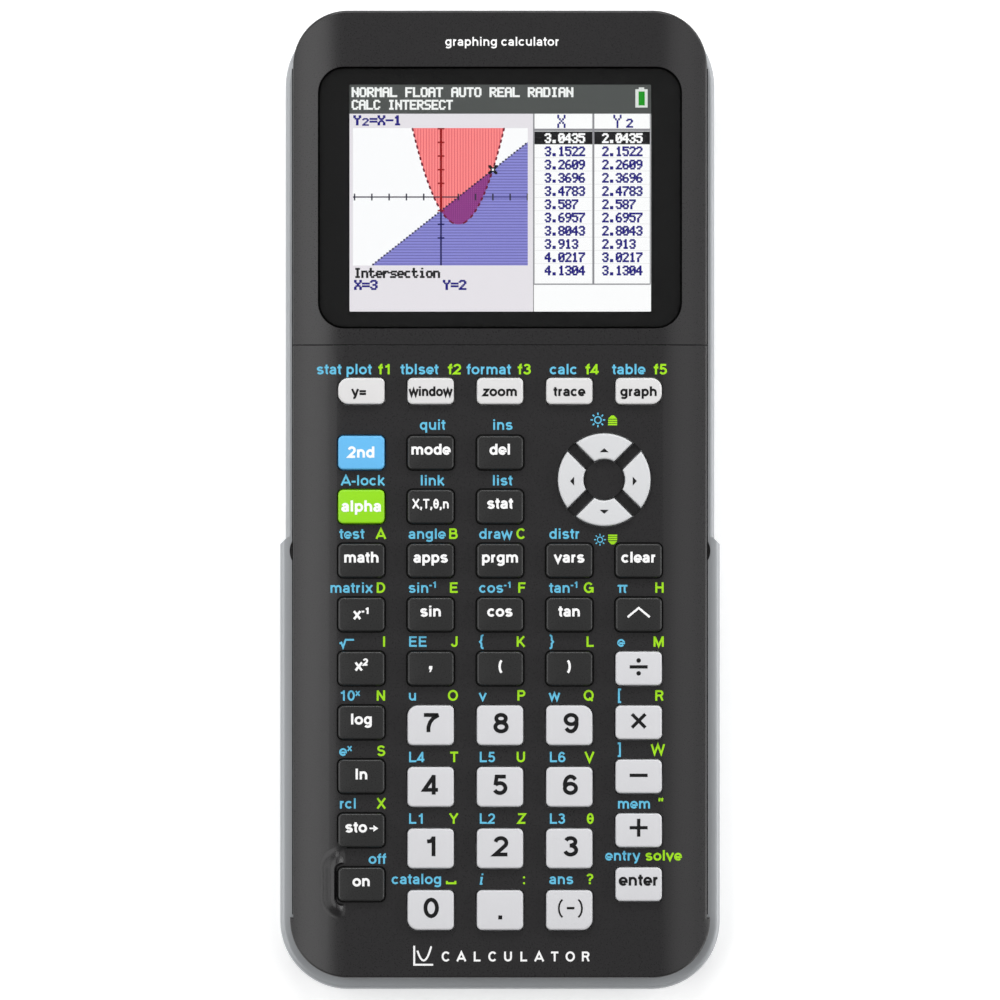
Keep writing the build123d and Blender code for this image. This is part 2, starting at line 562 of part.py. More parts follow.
def battery_cuts():
    """The battery's space, the door's opening with its hook slots, its screw hole and the lead's gap."""
    width, length = BATTERY_WIDTH + 2 * BAY_CLEARANCE, BATTERY_LENGTH + 2 * BAY_CLEARANCE
    space = rounded(width, length, [BATTERY_CORNER] * 4, (0, BATTERY_CENTRE_Y))
    opening = rounded(DOOR_WIDTH, DOOR_LENGTH, [DOOR_CORNER] * 4, (0, DOOR_CENTRE_Y))
    bay_end = BATTERY_CENTRE_Y + BATTERY_LENGTH / 2
    return [slab(space, DOOR_TOP_Z, PARTING_Z + 1), slab(opening, 0, DOOR_TOP_Z + 0.02),
            post(DOOR_SCREW_PLACE, PILOT_RADIUS, 0, DOOR_SCREW_TIP_Z + SCREW_TIP_SPACE),
            block(-2.5, 8, bay_end, bay_end + 3, 4.4, 7), *door_hooks(BAY_CLEARANCE)]


def side_openings():
    """The holes for the charging socket, its light and the reset switch."""
    gap = SIDE_OPENING_CLEARANCE
    half_width = USB_WIDTH / 2 + gap
    socket = block(36, 42, USB_CENTRE_Y - half_width, USB_CENTRE_Y + half_width,
                   BOARD_BOTTOM_Z - USB_HEIGHT - gap, BOARD_BOTTOM_Z + gap)
    light = Pos(39, LED_CENTRE_Y, BOARD_BOTTOM_Z - LED_DROP) * Rot(0, 90, 0) * Cylinder(LED_RADIUS, 6)
    return [socket, light, post(RESET_PLACE, RESET_HOLE_RADIUS, 0, BACK_INSIDE_Z + 1)]


def back_cover():
    """The tray with its screw posts, battery bay and side openings."""
    tray = back_outside()
    hollow = between(-HALF_LENGTH + BACK_HOLLOW_BOTTOM_INSET, HALF_LENGTH - BACK_HOLLOW_TOP_INSET,
                     BACK_HOLLOW_HALF_WIDTH, BACK_HOLLOW_CORNERS)
    hollow = slab(hollow, BACK_INSIDE_Z, PARTING_Z + 1)
    tray -= fillet(hollow.faces().sort_by(Axis.Z)[0].edges(), BACK_HOLLOW_ROUND)
    tray += [post(place, BACK_BOSS_RADIUS, BACK_FLOOR_Z, PARTING_Z) for place in SCREW_PLACES]
    tray += battery_bay()
    tray += feet_pads()
    cuts = battery_cuts() + side_openings()
    for place in SCREW_PLACES:
        cuts += [post(place, COUNTERBORE_RADIUS, 0, SCREW_SEAT_Z),
                 post(place, CLEARANCE_HOLE_RADIUS, 0, PARTING_Z + 1)]
    cuts += [rail_notch(side) for side in (-1, 1)]
    return tray - cuts


def rail_notch(side):
    """A shallow lens-shaped catch beside the rail, for a slide-on cover's detent."""
    centre_x = side * (FRONT_HALF_WIDTH + CATCH_WIDTH - CATCH_RADIUS)
    disc = post((centre_x, CATCH_CENTRE_Y), CATCH_RADIUS, CATCH_BOTTOM_Z, PARTING_Z + 1)
    inner, outer = sorted((side * (FRONT_HALF_WIDTH - 0.3), side * (GRIP_HALF_WIDTH + 0.2)))
    return disc & block(inner, outer, CATCH_CENTRE_Y - CATCH_RADIUS, CATCH_CENTRE_Y + CATCH_RADIUS,
                        CATCH_BOTTOM_Z - 1, PARTING_Z + 1)


def save(name, shape):
    """Writes one sub-part, which may be several separate solids, as parts/NAME.step."""
    solids = []
    for piece in shape if isinstance(shape, list) else [shape]:
        solids += piece.solids()
    export_step(Compound(children=solids) if len(solids) > 1 else solids[0], f"parts/{name}.step")


def main():
    os.makedirs("parts", exist_ok=True)
    shell = front_shell()
    save("front_bezel", front_bezel(shell))
    save("keypad_cover", keypad_cover(shell))
    save("back_cover", back_cover())
    save("display_window", display_window())
    save("lcd_module", lcd_module())
    save("key_mat", key_mat())
    save("circuit_board", circuit_board())
    save("battery_pack", battery_pack())
    save("battery_door", battery_door())
    save("case_screws", case_screws())
    for name in list(KEYS) + list(ARROWS):
        save(f"key_{name}", key(name))


main()
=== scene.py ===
"""A handheld graphing calculator, lying on its back and seen from straight above."""
import bmesh
import bpy
import math
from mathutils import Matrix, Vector


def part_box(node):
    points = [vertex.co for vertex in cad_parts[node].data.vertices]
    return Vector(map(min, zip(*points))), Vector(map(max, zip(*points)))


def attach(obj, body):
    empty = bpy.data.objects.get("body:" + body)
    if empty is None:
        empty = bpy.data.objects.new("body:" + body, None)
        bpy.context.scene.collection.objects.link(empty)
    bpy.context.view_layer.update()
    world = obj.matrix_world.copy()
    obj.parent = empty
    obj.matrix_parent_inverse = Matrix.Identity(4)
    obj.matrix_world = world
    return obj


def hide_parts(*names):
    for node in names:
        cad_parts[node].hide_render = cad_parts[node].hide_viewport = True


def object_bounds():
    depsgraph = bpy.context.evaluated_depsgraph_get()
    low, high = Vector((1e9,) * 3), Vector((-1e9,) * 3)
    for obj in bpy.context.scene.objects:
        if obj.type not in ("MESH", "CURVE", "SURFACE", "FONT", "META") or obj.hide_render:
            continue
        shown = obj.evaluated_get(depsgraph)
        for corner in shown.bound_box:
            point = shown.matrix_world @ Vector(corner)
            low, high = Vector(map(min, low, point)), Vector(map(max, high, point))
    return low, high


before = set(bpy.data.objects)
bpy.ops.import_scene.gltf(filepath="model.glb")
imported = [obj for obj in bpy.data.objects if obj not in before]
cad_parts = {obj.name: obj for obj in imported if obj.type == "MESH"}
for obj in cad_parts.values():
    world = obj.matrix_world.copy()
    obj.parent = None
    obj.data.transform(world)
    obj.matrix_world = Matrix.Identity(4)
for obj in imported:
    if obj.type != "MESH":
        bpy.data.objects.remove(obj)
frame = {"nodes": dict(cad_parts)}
cad_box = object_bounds()

MM = 0.001
CASE = "case"
INK = 0.03 * MM
STROKE_STEP = 0.008 * MM

# ---- colours, as 0 to 255 screen values
CHARCOAL = (34, 33, 34)
SILVER = (174, 177, 180)
WHITE_KEY = (214, 214, 217)
BRIGHT_KEY = (219, 218, 218)
DARK_KEY = (38, 38, 38)
BLUE_KEY = (100, 185, 238)
GREEN_KEY = (146, 219, 0)
LEGEND_COLOURS = {"white_ink": (250, 250, 250), "black_ink": (10, 10, 12), "blue_ink": (100, 190, 224),
                  "green_ink": (160, 222, 24)}
ARROW_KEY = (213, 214, 216)
NEAR_BLACK = (3, 3, 3)
PANEL_GLASS = (14, 14, 16)
SILICONE = (140, 143, 146)
BOARD_GREENS = {"Color1": (22, 92, 48), "Color2": (18, 84, 44), "Mortar": (46, 128, 62)}
CHIP_BLACK = (26, 26, 28)
SOCKET_STEEL = (176, 177, 180)
SCREW_STEEL = (168, 168, 170)
SHRINK_WRAP = (60, 84, 120)
FLOOR_WHITE = (251, 251, 251)


# ---- what the frame says about where things are
def node_box(node):
    """(left, bottom, low, right, top, high) of a CAD node, in metres."""
    low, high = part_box(node)
    return low[0], low[1], low[2], high[0], high[1], high[2]


def node_centre(node):
    """The middle of a CAD node's box."""
    low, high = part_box(node)
    return Vector([(a + b) / 2 for a, b in zip(low, high)])


COVER = node_box("keypad_cover")
BEZEL = node_box("front_bezel")
BACK = node_box("back_cover")
LENS = node_box("display_window")
PANEL = node_box("lcd_module")
FACE_Z = BEZEL[5]
KEY_TOP_Z = node_box("key_5")[5]
KEY_PITCH = node_centre("key_6").x - node_centre("key_5").x
STEM_FOOT_Z = node_box("key_5")[2]
PAD_LEFT, PAD_RIGHT = node_box("key_arrow_left"), node_box("key_arrow_right")
PAD_UP, PAD_DOWN = node_box("key_arrow_up"), node_box("key_arrow_down")
PAD_CENTRE = ((PAD_LEFT[0] + PAD_RIGHT[3]) / 2, (PAD_DOWN[1] + PAD_UP[4]) / 2)

# ---- the keys' form, in metres
FLANGE = 0.5 * MM
FLANGE_THICKNESS = 0.8 * MM
FLANGE_TOP_Z = STEM_FOOT_Z + 1.9 * MM
KEY_CORNER = 0.95 * MM
WIDE_CORNER = 2.0 * MM
KEY_ROUND = 0.34 * MM
KEY_DOME_RADIUS = 78 * MM
# the rings of points that make a cap: just below its rounded rim, round it, just inside it, and over its top
BELOW_RIM, RIM_STEPS, INSIDE_RIM, TOP_SHARES = 0.2 * MM, 5, 0.06 * MM, (0.82, 0.6, 0.38, 0.18)
PAD_OUTER = (PAD_RIGHT[3] - PAD_LEFT[0]) / 2 - FLANGE
PAD_INNER = 3.95 * MM
PAD_CHANNEL = 2.3 * MM
PETAL_STEPS = 12
FLAT_HALF_WIDTH = 29.6 * MM
CROWN_RADIUS = 22.6 * MM


def face_height(x, y=0.0):
    """Height of the front covers, flat in the middle and rolled off at both long edges. y plays no part."""
    outward = max(abs(x) - FLAT_HALF_WIDTH, 0.0)
    return FACE_Z - CROWN_RADIUS + math.sqrt(CROWN_RADIUS**2 - outward**2)


# ---- materials
def linear(colour):
    """Screen values from 0 to 255 as a linear colour with alpha."""
    parts = [c / 255 for c in colour]
    return [p / 12.92 if p <= 0.04045 else ((p + 0.055) / 1.055) ** 2.4 for p in parts] + [1.0]


def empty_material(name):
    """(material, its nodes, its links, its Principled shader), with nothing else in it."""
    material = bpy.data.materials.new(name)
    material.use_nodes = True
    nodes, links = material.node_tree.nodes, material.node_tree.links
    return material, nodes, links, nodes["Principled BSDF"]


def put(node, values):
    """Sets the inputs of a node that the dictionary names."""
    for name, value in values.items():
        node.inputs[name].default_value = value


def noise(nodes, links, scale, detail):
    """A noise texture in object space, scale in features per metre."""
    place = nodes.new("ShaderNodeTexCoord")
    texture = nodes.new("ShaderNodeTexNoise")
    put(texture, {"Scale": scale, "Detail": detail, "Roughness": 0.55})
    links.new(place.outputs["Object"], texture.inputs["Vector"])
    return texture.outputs["Fac"]


def spread(nodes, links, source, low, high, start=0.3, end=0.7):
    """A 0 to 1 value mapped onto low to high."""
    node = nodes.new("ShaderNodeMapRange")
    put(node, {"From Min": start, "From Max": end, "To Min": low, "To Max": high})
    links.new(source, node.inputs["Value"])
    return node.outputs["Result"]


def mottled(nodes, links, colour, source, depth):
    """The colour, a little darker and lighter from place to place."""
    mix = nodes.new("ShaderNodeMix")
    mix.data_type = "RGBA"
    base = linear(colour)
    mix.inputs["A"].default_value = [c * (1 - depth) for c in base[:3]] + [1]
    mix.inputs["B"].default_value = [min(c * (1 + depth), 1) for c in base[:3]] + [1]
    links.new(source, mix.inputs["Factor"])
    return mix.outputs["Result"]


def bumped(nodes, links, shader, source, height, strength, rounding=0.0):
    """Gives the shader a fine surface relief, over edges softened by a small radius."""
    bump = nodes.new("ShaderNodeBump")
    put(bump, {"Distance": height, "Strength": strength})
    links.new(source, bump.inputs["Height"])
    if rounding:
        bevel = nodes.new("ShaderNodeBevel")
        bevel.samples = 6
        bevel.inputs["Radius"].default_value = rounding
        links.new(bevel.outputs["Normal"], bump.inputs["Normal"])
    links.new(bump.outputs["Normal"], shader.inputs["Normal"])


def plastic(name, colour, rough, grain=4200, relief=0.012 * MM, strength=0.3, depth=0.05, rounding=0.0):
    """Moulded plastic: a spark-eroded grain, slightly uneven gloss and colour."""
    material, nodes, links, shader = empty_material(name)
    fine = noise(nodes, links, grain, 3.0)
    broad = noise(nodes, links, 90, 3.0)
    links.new(mottled(nodes, links, colour, broad, depth), shader.inputs["Base Color"])
    links.new(spread(nodes, links, fine, rough - 0.05, rough + 0.05), shader.inputs["Roughness"])
    bumped(nodes, links, shader, fine, relief, strength, rounding)
    return material


def painted_silver():
    """Satin silver grey plastic with a fine metallic fleck."""
    material, nodes, links, shader = empty_material("satin_silver")
    fleck = noise(nodes, links, 9000, 2.0)
    broad = noise(nodes, links, 60, 3.0)
    links.new(mottled(nodes, links, SILVER, fleck, 0.10), shader.inputs["Base Color"])
    links.new(spread(nodes, links, broad, 0.36, 0.44), shader.inputs["Roughness"])
    shader.inputs["Metallic"].default_value = 0.25
    bumped(nodes, links, shader, fleck, 0.004 * MM, 0.3, 0.12 * MM)
    return material


def uneven(name, colour, depth, scale, detail, low, high):
    """(material, shader) with one noise behind its colour and its roughness, which goes from low to high."""
    material, nodes, links, shader = empty_material(name)
    source = noise(nodes, links, scale, detail)
    links.new(mottled(nodes, links, colour, source, depth), shader.inputs["Base Color"])
    links.new(spread(nodes, links, source, low, high), shader.inputs["Roughness"])
    return material, shader


def ink(name, colour, gloss=0.25):
    """Screen printed ink: flat, with a faint printing grain. gloss is the level of its reflections."""
    material, shader = uneven(name, colour, 0.04, 7000, 2.0, 0.42, 0.55)
    shader.inputs["Specular IOR Level"].default_value = gloss
    return material


GRID_LINE, GRID_SHADE = 0.006 * MM, 0.86


def lit(name, colour, glow):
    """One colour of the lit display, over a faint grid of picture elements."""
    material, nodes, links, shader = empty_material(name)
    place = nodes.new("ShaderNodeTexCoord")
    grid = nodes.new("ShaderNodeTexBrick")
    grid.offset = 0.0
    base = linear(colour)
    put(grid, {"Scale": 1.0, "Brick Width": DOT, "Row Height": DOT, "Mortar Size": GRID_LINE,
               "Color1": base, "Color2": base, "Mortar": [c * GRID_SHADE for c in base[:3]] + [1]})
    links.new(place.outputs["Object"], grid.inputs["Vector"])
    links.new(grid.outputs["Color"], shader.inputs["Emission Color"])
    put(shader, {"Emission Strength": glow, "Base Color": (0.01, 0.01, 0.012, 1), "Roughness": 0.35,
                 "Specular IOR Level": 0.2})
    return material


def clear_lens():
    """The display window: clear, hard coated acrylic."""
    material, nodes, links, shader = empty_material("clear_lens")
    smear = noise(nodes, links, 45, 2.0)
    links.new(spread(nodes, links, smear, 0.0, 0.03), shader.inputs["Roughness"])
    put(shader, {"Base Color": (0.97, 0.98, 0.98, 1), "Transmission Weight": 1.0, "IOR": 1.46,
                 "Specular IOR Level": 0.12})
    return material


def soft_silicone():
    """Translucent grey silicone rubber."""
    return uneven("soft_silicone", SILICONE, 0.06, 120, 3.0, 0.5, 0.65)[0]


def past_limit(nodes, links, source, limit, above):
    """One where the coordinate is past the limit, otherwise zero."""
    test = nodes.new("ShaderNodeMath")
    test.operation = "GREATER_THAN" if above else "LESS_THAN"
    test.inputs[1].default_value = limit
    links.new(source, test.inputs[0])
    return test.outputs["Value"]


def blend(nodes, links, factor, first, second):
    """The second colour where the factor is one. Each is a socket or a colour."""
    mix = nodes.new("ShaderNodeMix")
    mix.data_type = "RGBA"
    links.new(factor, mix.inputs["Factor"])
    for name, value in (("A", first), ("B", second)):
        if isinstance(value, bpy.types.NodeSocket):
            links.new(value, mix.inputs[name])
        else:
            mix.inputs[name].default_value = linear(value)
    return mix.outputs["Result"]


# past these distances below and beside the mat there are only the chips and the socket
BELOW_BOARD, BESIDE_BOARD = 1.02 * MM, 0.1 * MM


def assembled_board():
    """Green laminate with faint tracks, black chips under it, and steel where the socket sticks out."""
    material, nodes, links, shader = empty_material("assembled_board")
    place = nodes.new("ShaderNodeTexCoord")
    tracks = nodes.new("ShaderNodeTexBrick")
    put(tracks, {"Scale": 1.0, "Brick Width": 6 * MM, "Row Height": 1.6 * MM, "Mortar Size": 0.12 * MM})
    put(tracks, {socket: linear(colour) for socket, colour in BOARD_GREENS.items()})
    links.new(place.outputs["Object"], tracks.inputs["Vector"])
    axes = nodes.new("ShaderNodeSeparateXYZ")
    links.new(place.outputs["Object"], axes.inputs["Vector"])
    mat = node_box("key_mat")
    underside, side = mat[2] - BELOW_BOARD, mat[3] + BESIDE_BOARD
    under = past_limit(nodes, links, axes.outputs["Z"], underside, False)
    outside = past_limit(nodes, links, axes.outputs["X"], side, True)
    colour = blend(nodes, links, under, tracks.outputs["Color"], CHIP_BLACK)
    links.new(blend(nodes, links, outside, colour, SOCKET_STEEL), shader.inputs["Base Color"])
    links.new(outside, shader.inputs["Metallic"])
    shader.inputs["Roughness"].default_value = 0.35
    return material


def plated_steel():
    """Zinc plated screw steel with a fine turned grain."""
    material, shader = uneven("plated_steel", SCREW_STEEL, 0.12, 5000, 4.0, 0.22, 0.4)
    shader.inputs["Metallic"].default_value = 1.0
    return material


# ---- mesh making
def piece(name, mesh_maker, material, body, slot=None, stands_for=(), smooth=40):
    """Makes an object from a bmesh, paints it, and lets it ride on a body."""
    mesh = bpy.data.meshes.new(name)
    bmesh.ops.recalc_face_normals(mesh_maker, faces=mesh_maker.faces)
    mesh_maker.to_mesh(mesh)
    mesh_maker.free()
    mesh.materials.append(material)
    for polygon in mesh.polygons:
        polygon.use_smooth = True
    mesh.set_sharp_from_angle(angle=math.radians(smooth))
    thing = bpy.data.objects.new(name, mesh)
    bpy.context.scene.collection.objects.link(thing)
    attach(thing, body)
    if stands_for:
        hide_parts(*stands_for)
    return thing


def loft(maker, rings, closed_top=None):
    """Skins rings of equally many points, closes the bottom flat and the top flat or to one point."""
    rows = [[maker.verts.new(p) for p in ring] for ring in rings]
    count = len(rows[0])
    for lower, upper in zip(rows, rows[1:]):
        for n in range(count):
            m = (n + 1) % count
            maker.faces.new((lower[n], lower[m], upper[m], upper[n]))
    maker.faces.new(rows[0][::-1])
    if closed_top is None:
        maker.faces.new(rows[-1])
        return
    tip = maker.verts.new(closed_top)
    for n in range(count):
        maker.faces.new((rows[-1][n], rows[-1][(n + 1) % count], tip))


def arc(centre, radius, start, end, steps):
    """Points along an arc, angles in degrees."""
    turns = [math.radians(start + (end - start) * n / steps) for n in range(steps + 1)]
    return [(centre[0] + radius * math.cos(t), centre[1] + radius * math.sin(t)) for t in turns]


def rounded_outline(centre, width, height, corners, inset=0.0):
    """A rounded rectangle pulled in by inset. Corners: top right, top left, bottom left, bottom right."""
    points = []
    for (sx, sy), radius, start in zip(((1, 1), (-1, 1), (-1, -1), (1, -1)), corners, (0, 90, 180, 270)):
        x = centre[0] + sx * (width / 2 - radius)
        y = centre[1] + sy * (height / 2 - radius)
        points += arc((x, y), max(radius - inset, 0.02 * MM), start, start + 90, 7)
    return points


def petal_outline(turn, inset):
    """A quarter of the arrow pad's ring, with straight channels at its sides, pulled in by inset."""
    outer, inner = PAD_OUTER - inset, PAD_INNER + inset
    side = PAD_CHANNEL / 2 + inset
    outer_half = 45 - math.degrees(math.asin(side / outer))
    inner_half = 45 - math.degrees(math.asin(side / inner))
    points = arc(PAD_CENTRE, outer, turn - outer_half, turn + outer_half, PETAL_STEPS)
    return points + arc(PAD_CENTRE, inner, turn + inner_half, turn - inner_half, PETAL_STEPS)


def cap_top(centre):
    """The height of a key's gently domed top over a point."""
    def height(x, y):
        reach = (x - centre[0]) ** 2 + (y - centre[1]) ** 2
        return KEY_TOP_Z - KEY_DOME_RADIUS + math.sqrt(KEY_DOME_RADIUS**2 - reach)
    return height


def key_cap(outline, centre):
    """A cap on its retaining flange, with a rounded rim and a domed top. outline(inset) gives its plan."""
    height = cap_top(centre)
    rings = [
        [(x, y, FLANGE_TOP_Z - FLANGE_THICKNESS) for x, y in outline(-FLANGE)],
        [(x, y, FLANGE_TOP_Z) for x, y in outline(-FLANGE)],
        [(x, y, FLANGE_TOP_Z) for x, y in outline(0)],
        [(x, y, height(x, y) - KEY_ROUND - BELOW_RIM) for x, y in outline(0)],
    ]
    for n in range(RIM_STEPS + 1):
        turn = math.radians(90 * n / RIM_STEPS)
        inset = KEY_ROUND * (1 - math.cos(turn))
        drop = KEY_ROUND * (1 - math.sin(turn))
        rings.append([(x, y, height(x, y) - drop) for x, y in outline(inset)])
    rim = outline(KEY_ROUND + INSIDE_RIM)
    rings.append([(x, y, height(x, y)) for x, y in rim])
    for share in TOP_SHARES:
        ring = [(centre[0] + (x - centre[0]) * share, centre[1] + (y - centre[1]) * share) for x, y in rim]
        rings.append([(x, y, height(x, y)) for x, y in ring])
    maker = bmesh.new()
    loft(maker, rings, (centre[0], centre[1], height(*centre)))
    return maker


# ---- lettering: each letter is its advance and its strokes, in hundredths of the type size
# a stroke is points x,y joined by straight lines, and @x,y,rx,ry,start,end for an arc, angles in degrees
LETTERS = {
    "a": (56, "43,0 43,34 @27,34,16,13.5,0,165",
          "43,29 25,27 @24,16.5,14,10.5,90,270 26,6 @27,17,16,11,270,350"),
    "b": (61, "13,0 13,72", "@32,26.5,19,20.5,0,360"),
    "c": (56, "@29,26.5,20,20.5,42,318"),
    "d": (61, "48,0 48,72", "@29,26.5,19,20.5,0,360"),
    "e": (56, "10,24 48,24 @28,26.5,20,20.5,0,318"),
    "f": (33, "16,0 16,57 @27,57,11,9.5,180,85", "2,47.5 31,47.5"),
    "g": (61, "48,53 48,-4 @29,-4,19,11,0,-155", "@29,27,19,20,0,360"),
    "h": (61, "13,0 13,72", "13,28 @30.5,28,18,19,180,0 48.5,0"),
    "i": (28, "14,0 14,53", "14,60 14,72"),
    "k": (56, "13,0 13,72", "13,18 47,53", "24,29 50,0"),
    "l": (28, "14,0 14,72"),
    "m": (89, "13,0 13,53", "13,30 @28.8,30,15.8,17,180,0 44.6,0", "44.6,30 @60.4,30,15.8,17,180,0 76.2,0"),
    "n": (61, "13,0 13,53", "13,28 @30.5,28,18,19,180,0 48.5,0"),
    "o": (61, "@30.5,26.5,21,20.5,0,360"),
    "p": (61, "13,-20 13,53", "@32,26.5,19,20.5,0,360"),
    "q": (61, "48,-20 48,53", "@29,26.5,19,20.5,0,360"),
    "r": (39, "13,0 13,53", "13,27 @31,27,18,20,180,88"),
    "s": (56, "@28,37.2,16.5,10.2,22,270 @28,16.3,17.5,10.7,90,-160"),
    "t": (33, "16,67 16,14 @25,14,9,8.5,180,280", "2,47.5 31,47.5"),
    "u": (61, "12.5,53 12.5,25 @30.5,25,18,19,180,360", "48.5,0 48.5,53"),
    "v": (56, "6,53 28,4 50,53"),
    "w": (78, "5,53 21.5,5 39,49 56.5,5 73,53"),
    "x": (56, "7,53 49,0", "7,0 49,53"),
    "y": (56, "6,53 29,2", "50,53 28,-7 @17,-5,11,9.5,-20,-100"),
    "z": (50, "6,47.5 42,47.5 8,5.5 45,5.5"),
    "A": (72, "5,0 36,67 67,0", "16,20 56,20"),
    "B": (72, "14,0 14,72", "14,66 40,66 @41,52,13,14,90,-90 14,38", "40,38 @43,22,16,16,90,-90 14,6"),
    "C": (72, "@38,36,26,31,40,320"),
    "D": (72, "14,0 14,72", "14,66 32,66 @32,36,27,30,90,-90 14,6"),
    "E": (67, "14,0 14,72", "14,66 60,66", "14,37 56,37", "14,6 61,6"),
    "F": (61, "14,0 14,72", "14,66 57,66", "14,36 52,36"),
    "G": (78, "@39,36,27,31,40,335", "41,33 66,33 66,2"),
    "H": (72, "14,0 14,72", "58,0 58,72", "14,37 58,37"),
    "I": (28, "14,0 14,72"),
    "J": (56, "42,72 42,22 @26,22,16,17,0,-175"),
    "K": (72, "14,0 14,72", "14,24 58,72", "28,40 61,0"),
    "L": (61, "14,72 14,6 57,6"),
    "M": (83, "13,0 13,72", "70,0 70,72", "14,68 41.5,6 69,68"),
    "N": (72, "14,0 14,72", "58,0 58,72", "14,68 58,4"),
    "O": (78, "@39,36,28,31,0,360"),
    "P": (67, "14,0 14,72", "14,66 38,66 @39,50,16,16,90,-90 14,34"),
    "Q": (78, "@39,36,28,31,0,360", "42,19 66,-2"),
    "R": (72, "14,0 14,72", "14,66 40,66 @41,51,15,15,90,-90 14,36", "42,36 58,0"),
    "S": (67, "@33,51.3,20,14.7,18,270 @33,20.8,21.5,15.8,90,-162"),
    "T": (61, "3,66 58,66", "30.5,0 30.5,66"),
    "U": (72, "14,72 14,27 @36,27,22,21,180,360 58,72"),
    "V": (67, "5,72 33.5,4 62,72"),
    "W": (94, "4,72 24,5 47,68 70,5 90,72"),
    "X": (67, "7,72 60,0", "7,0 60,72"),
    "Y": (67, "6,72 33.5,33 61,72", "33.5,34 33.5,0"),
    "Z": (61, "6,66 53,66 8,6 56,6"),
    "0": (56, "@28,35.5,19,30,0,360"),
    "1": (56, "34,0 34,71", "13,53 22,54 @22,67,10,13,-90,-5"),
    "2": (56, "@27.5,48.5,18,17,170,-35 9,6 49,6"),
    "3": (56, "@27,52.2,16,13.3,160,-90", "24,38 @27,21.8,18.5,16.2,90,-165"),
    "4": (56, "52,17 7,17 38,66", "38,0 38,71"),
    "5": (56, "47,65 17,65 13,34", "@27.5,23.5,18.5,18,140,-155"),
    "6": (56, "@30,35.5,19.5,30,38,190", "@29,22.5,18.5,17,0,360"),
    "7": (56, "6,65 48,65 @62,12,42,52,108,190"),
    "8": (56, "@28,52.3,15.8,13.3,0,360", "@28,21.7,18.8,16,0,360"),
    "9": (56, "@26,35.5,19.5,30,10,-142", "@27,48.5,18.5,17,0,360"),
    ".": (28, "14,0 14,14"),
    ",": (28, "14,12 14,-1 9,-12"),
    ":": (28, "14,0 14,13", "14,40 14,53"),
    "?": (61, "@30,52,17,14,170,-60 @38,27,8,12,120,180 30,20", "30,0 30,13"),
    "(": (33, "@38,26,24,46,118,242"),
    ")": (33, "@-5,26,24,46,62,-62"),
    "[": (33, "28,78 13,78 13,-10 28,-10"),
    "]": (33, "5,78 20,78 20,-10 5,-10"),
    "{": (39, "33,78 @28,64,9,14,90,180 19,46 9,34 19,22 @28,4,9,14,180,270 33,-10"),
    "}": (39, "6,78 @11,64,9,14,90,0 20,46 30,34 20,22 @11,4,9,14,0,-90 6,-10"),
    "=": (58, "5,36 53,36", "5,16 53,16"),
    "+": (58, "5,26 53,26", "29,2 29,50"),
    "-": (34, "3,26 31,26"),
    "−": (58, "5,26 53,26"),
    "×": (58, "11,8 47,44", "11,44 47,8"),
    "÷": (58, "5,26 53,26", "29,43 29,55", "29,-3 29,9"),
    "^": (58, "7,24 29,46 51,24"),
    "→": (80, "6,26 60,26", "48,44 68,26 48,8"),
    "√": (108, "4,22 16,28 28,-4 46,48 104,48"),
    "π": (76, "4,49 72,49", "22,0 22,48", "52,48 52,12 @61,12,9,8,180,280"),
    "θ": (56, "@28,36,17,31,0,360", "11,36 45,36"),
    "“": (50, "14,50 14,66 20,72", "32,50 32,66 38,72"),
    "ı": (40, "12,44 22,44 14,2 26,2", "25,62 27,74"),
    "⎵": (70, "6,22 6,6 64,6 64,22"),
}
RAISED_SIZE, RAISED_HEIGHT = 0.62, 0.34


def stroke_points(stroke):
    """The points of one stroke of a letter, without those that all but coincide with the one before."""
    points = []
    for token in stroke.split():
        if token[0] != "@":
            points.append(Vector([float(v) / 100 for v in token.split(",")]))
            continue
        x, y, rx, ry, start, end = (float(v) / 100 for v in token[1:].split(","))
        steps = max(int(abs(end - start) / 0.18), 3)
        for n in range(steps + 1):
            turn = math.radians(100 * (start + (end - start) * n / steps))
            points.append(Vector((x + rx * math.cos(turn), y + ry * math.sin(turn))))
    return [p for n, p in enumerate(points) if n == 0 or (p - points[n - 1]).length > 0.015]


def words_layout(words, size):
    """[(letter, left, rise, size)] and the whole width. A ^ raises all that follows it."""
    placed, left, raised = [], 0.0, False
    for letter in words:
        if letter == "^" and len(words) > 1:
            raised = True
            continue
        scale = size * RAISED_SIZE if raised else size
        if letter in LETTERS:
            placed.append((letter, left, size * RAISED_HEIGHT if raised else 0.0, scale))
        left += scale * (LETTERS[letter][0] / 100 if letter in LETTERS else 0.26)
    return placed, left


def add_words(maker, words, x, y, size, align="CENTER", weight=0.12, stretch=1.0):
    """Adds thin raised letters. y is the baseline, and weight the strokes' width as a share of the size."""
    placed, width = words_layout(words, size)
    start = x - width * stretch * {"LEFT": 0.0, "CENTER": 0.5, "RIGHT": 1.0}[align]
    for letter, left, rise, scale in placed:
        for n, stroke in enumerate(LETTERS[letter][1:]):
            points = [(start + (left + px * scale) * stretch, y + rise + py * scale)
                      for px, py in stroke_points(stroke)]
            add_stroke(maker, points, weight * size * (0.8 if rise else 1.0), n * STROKE_STEP)


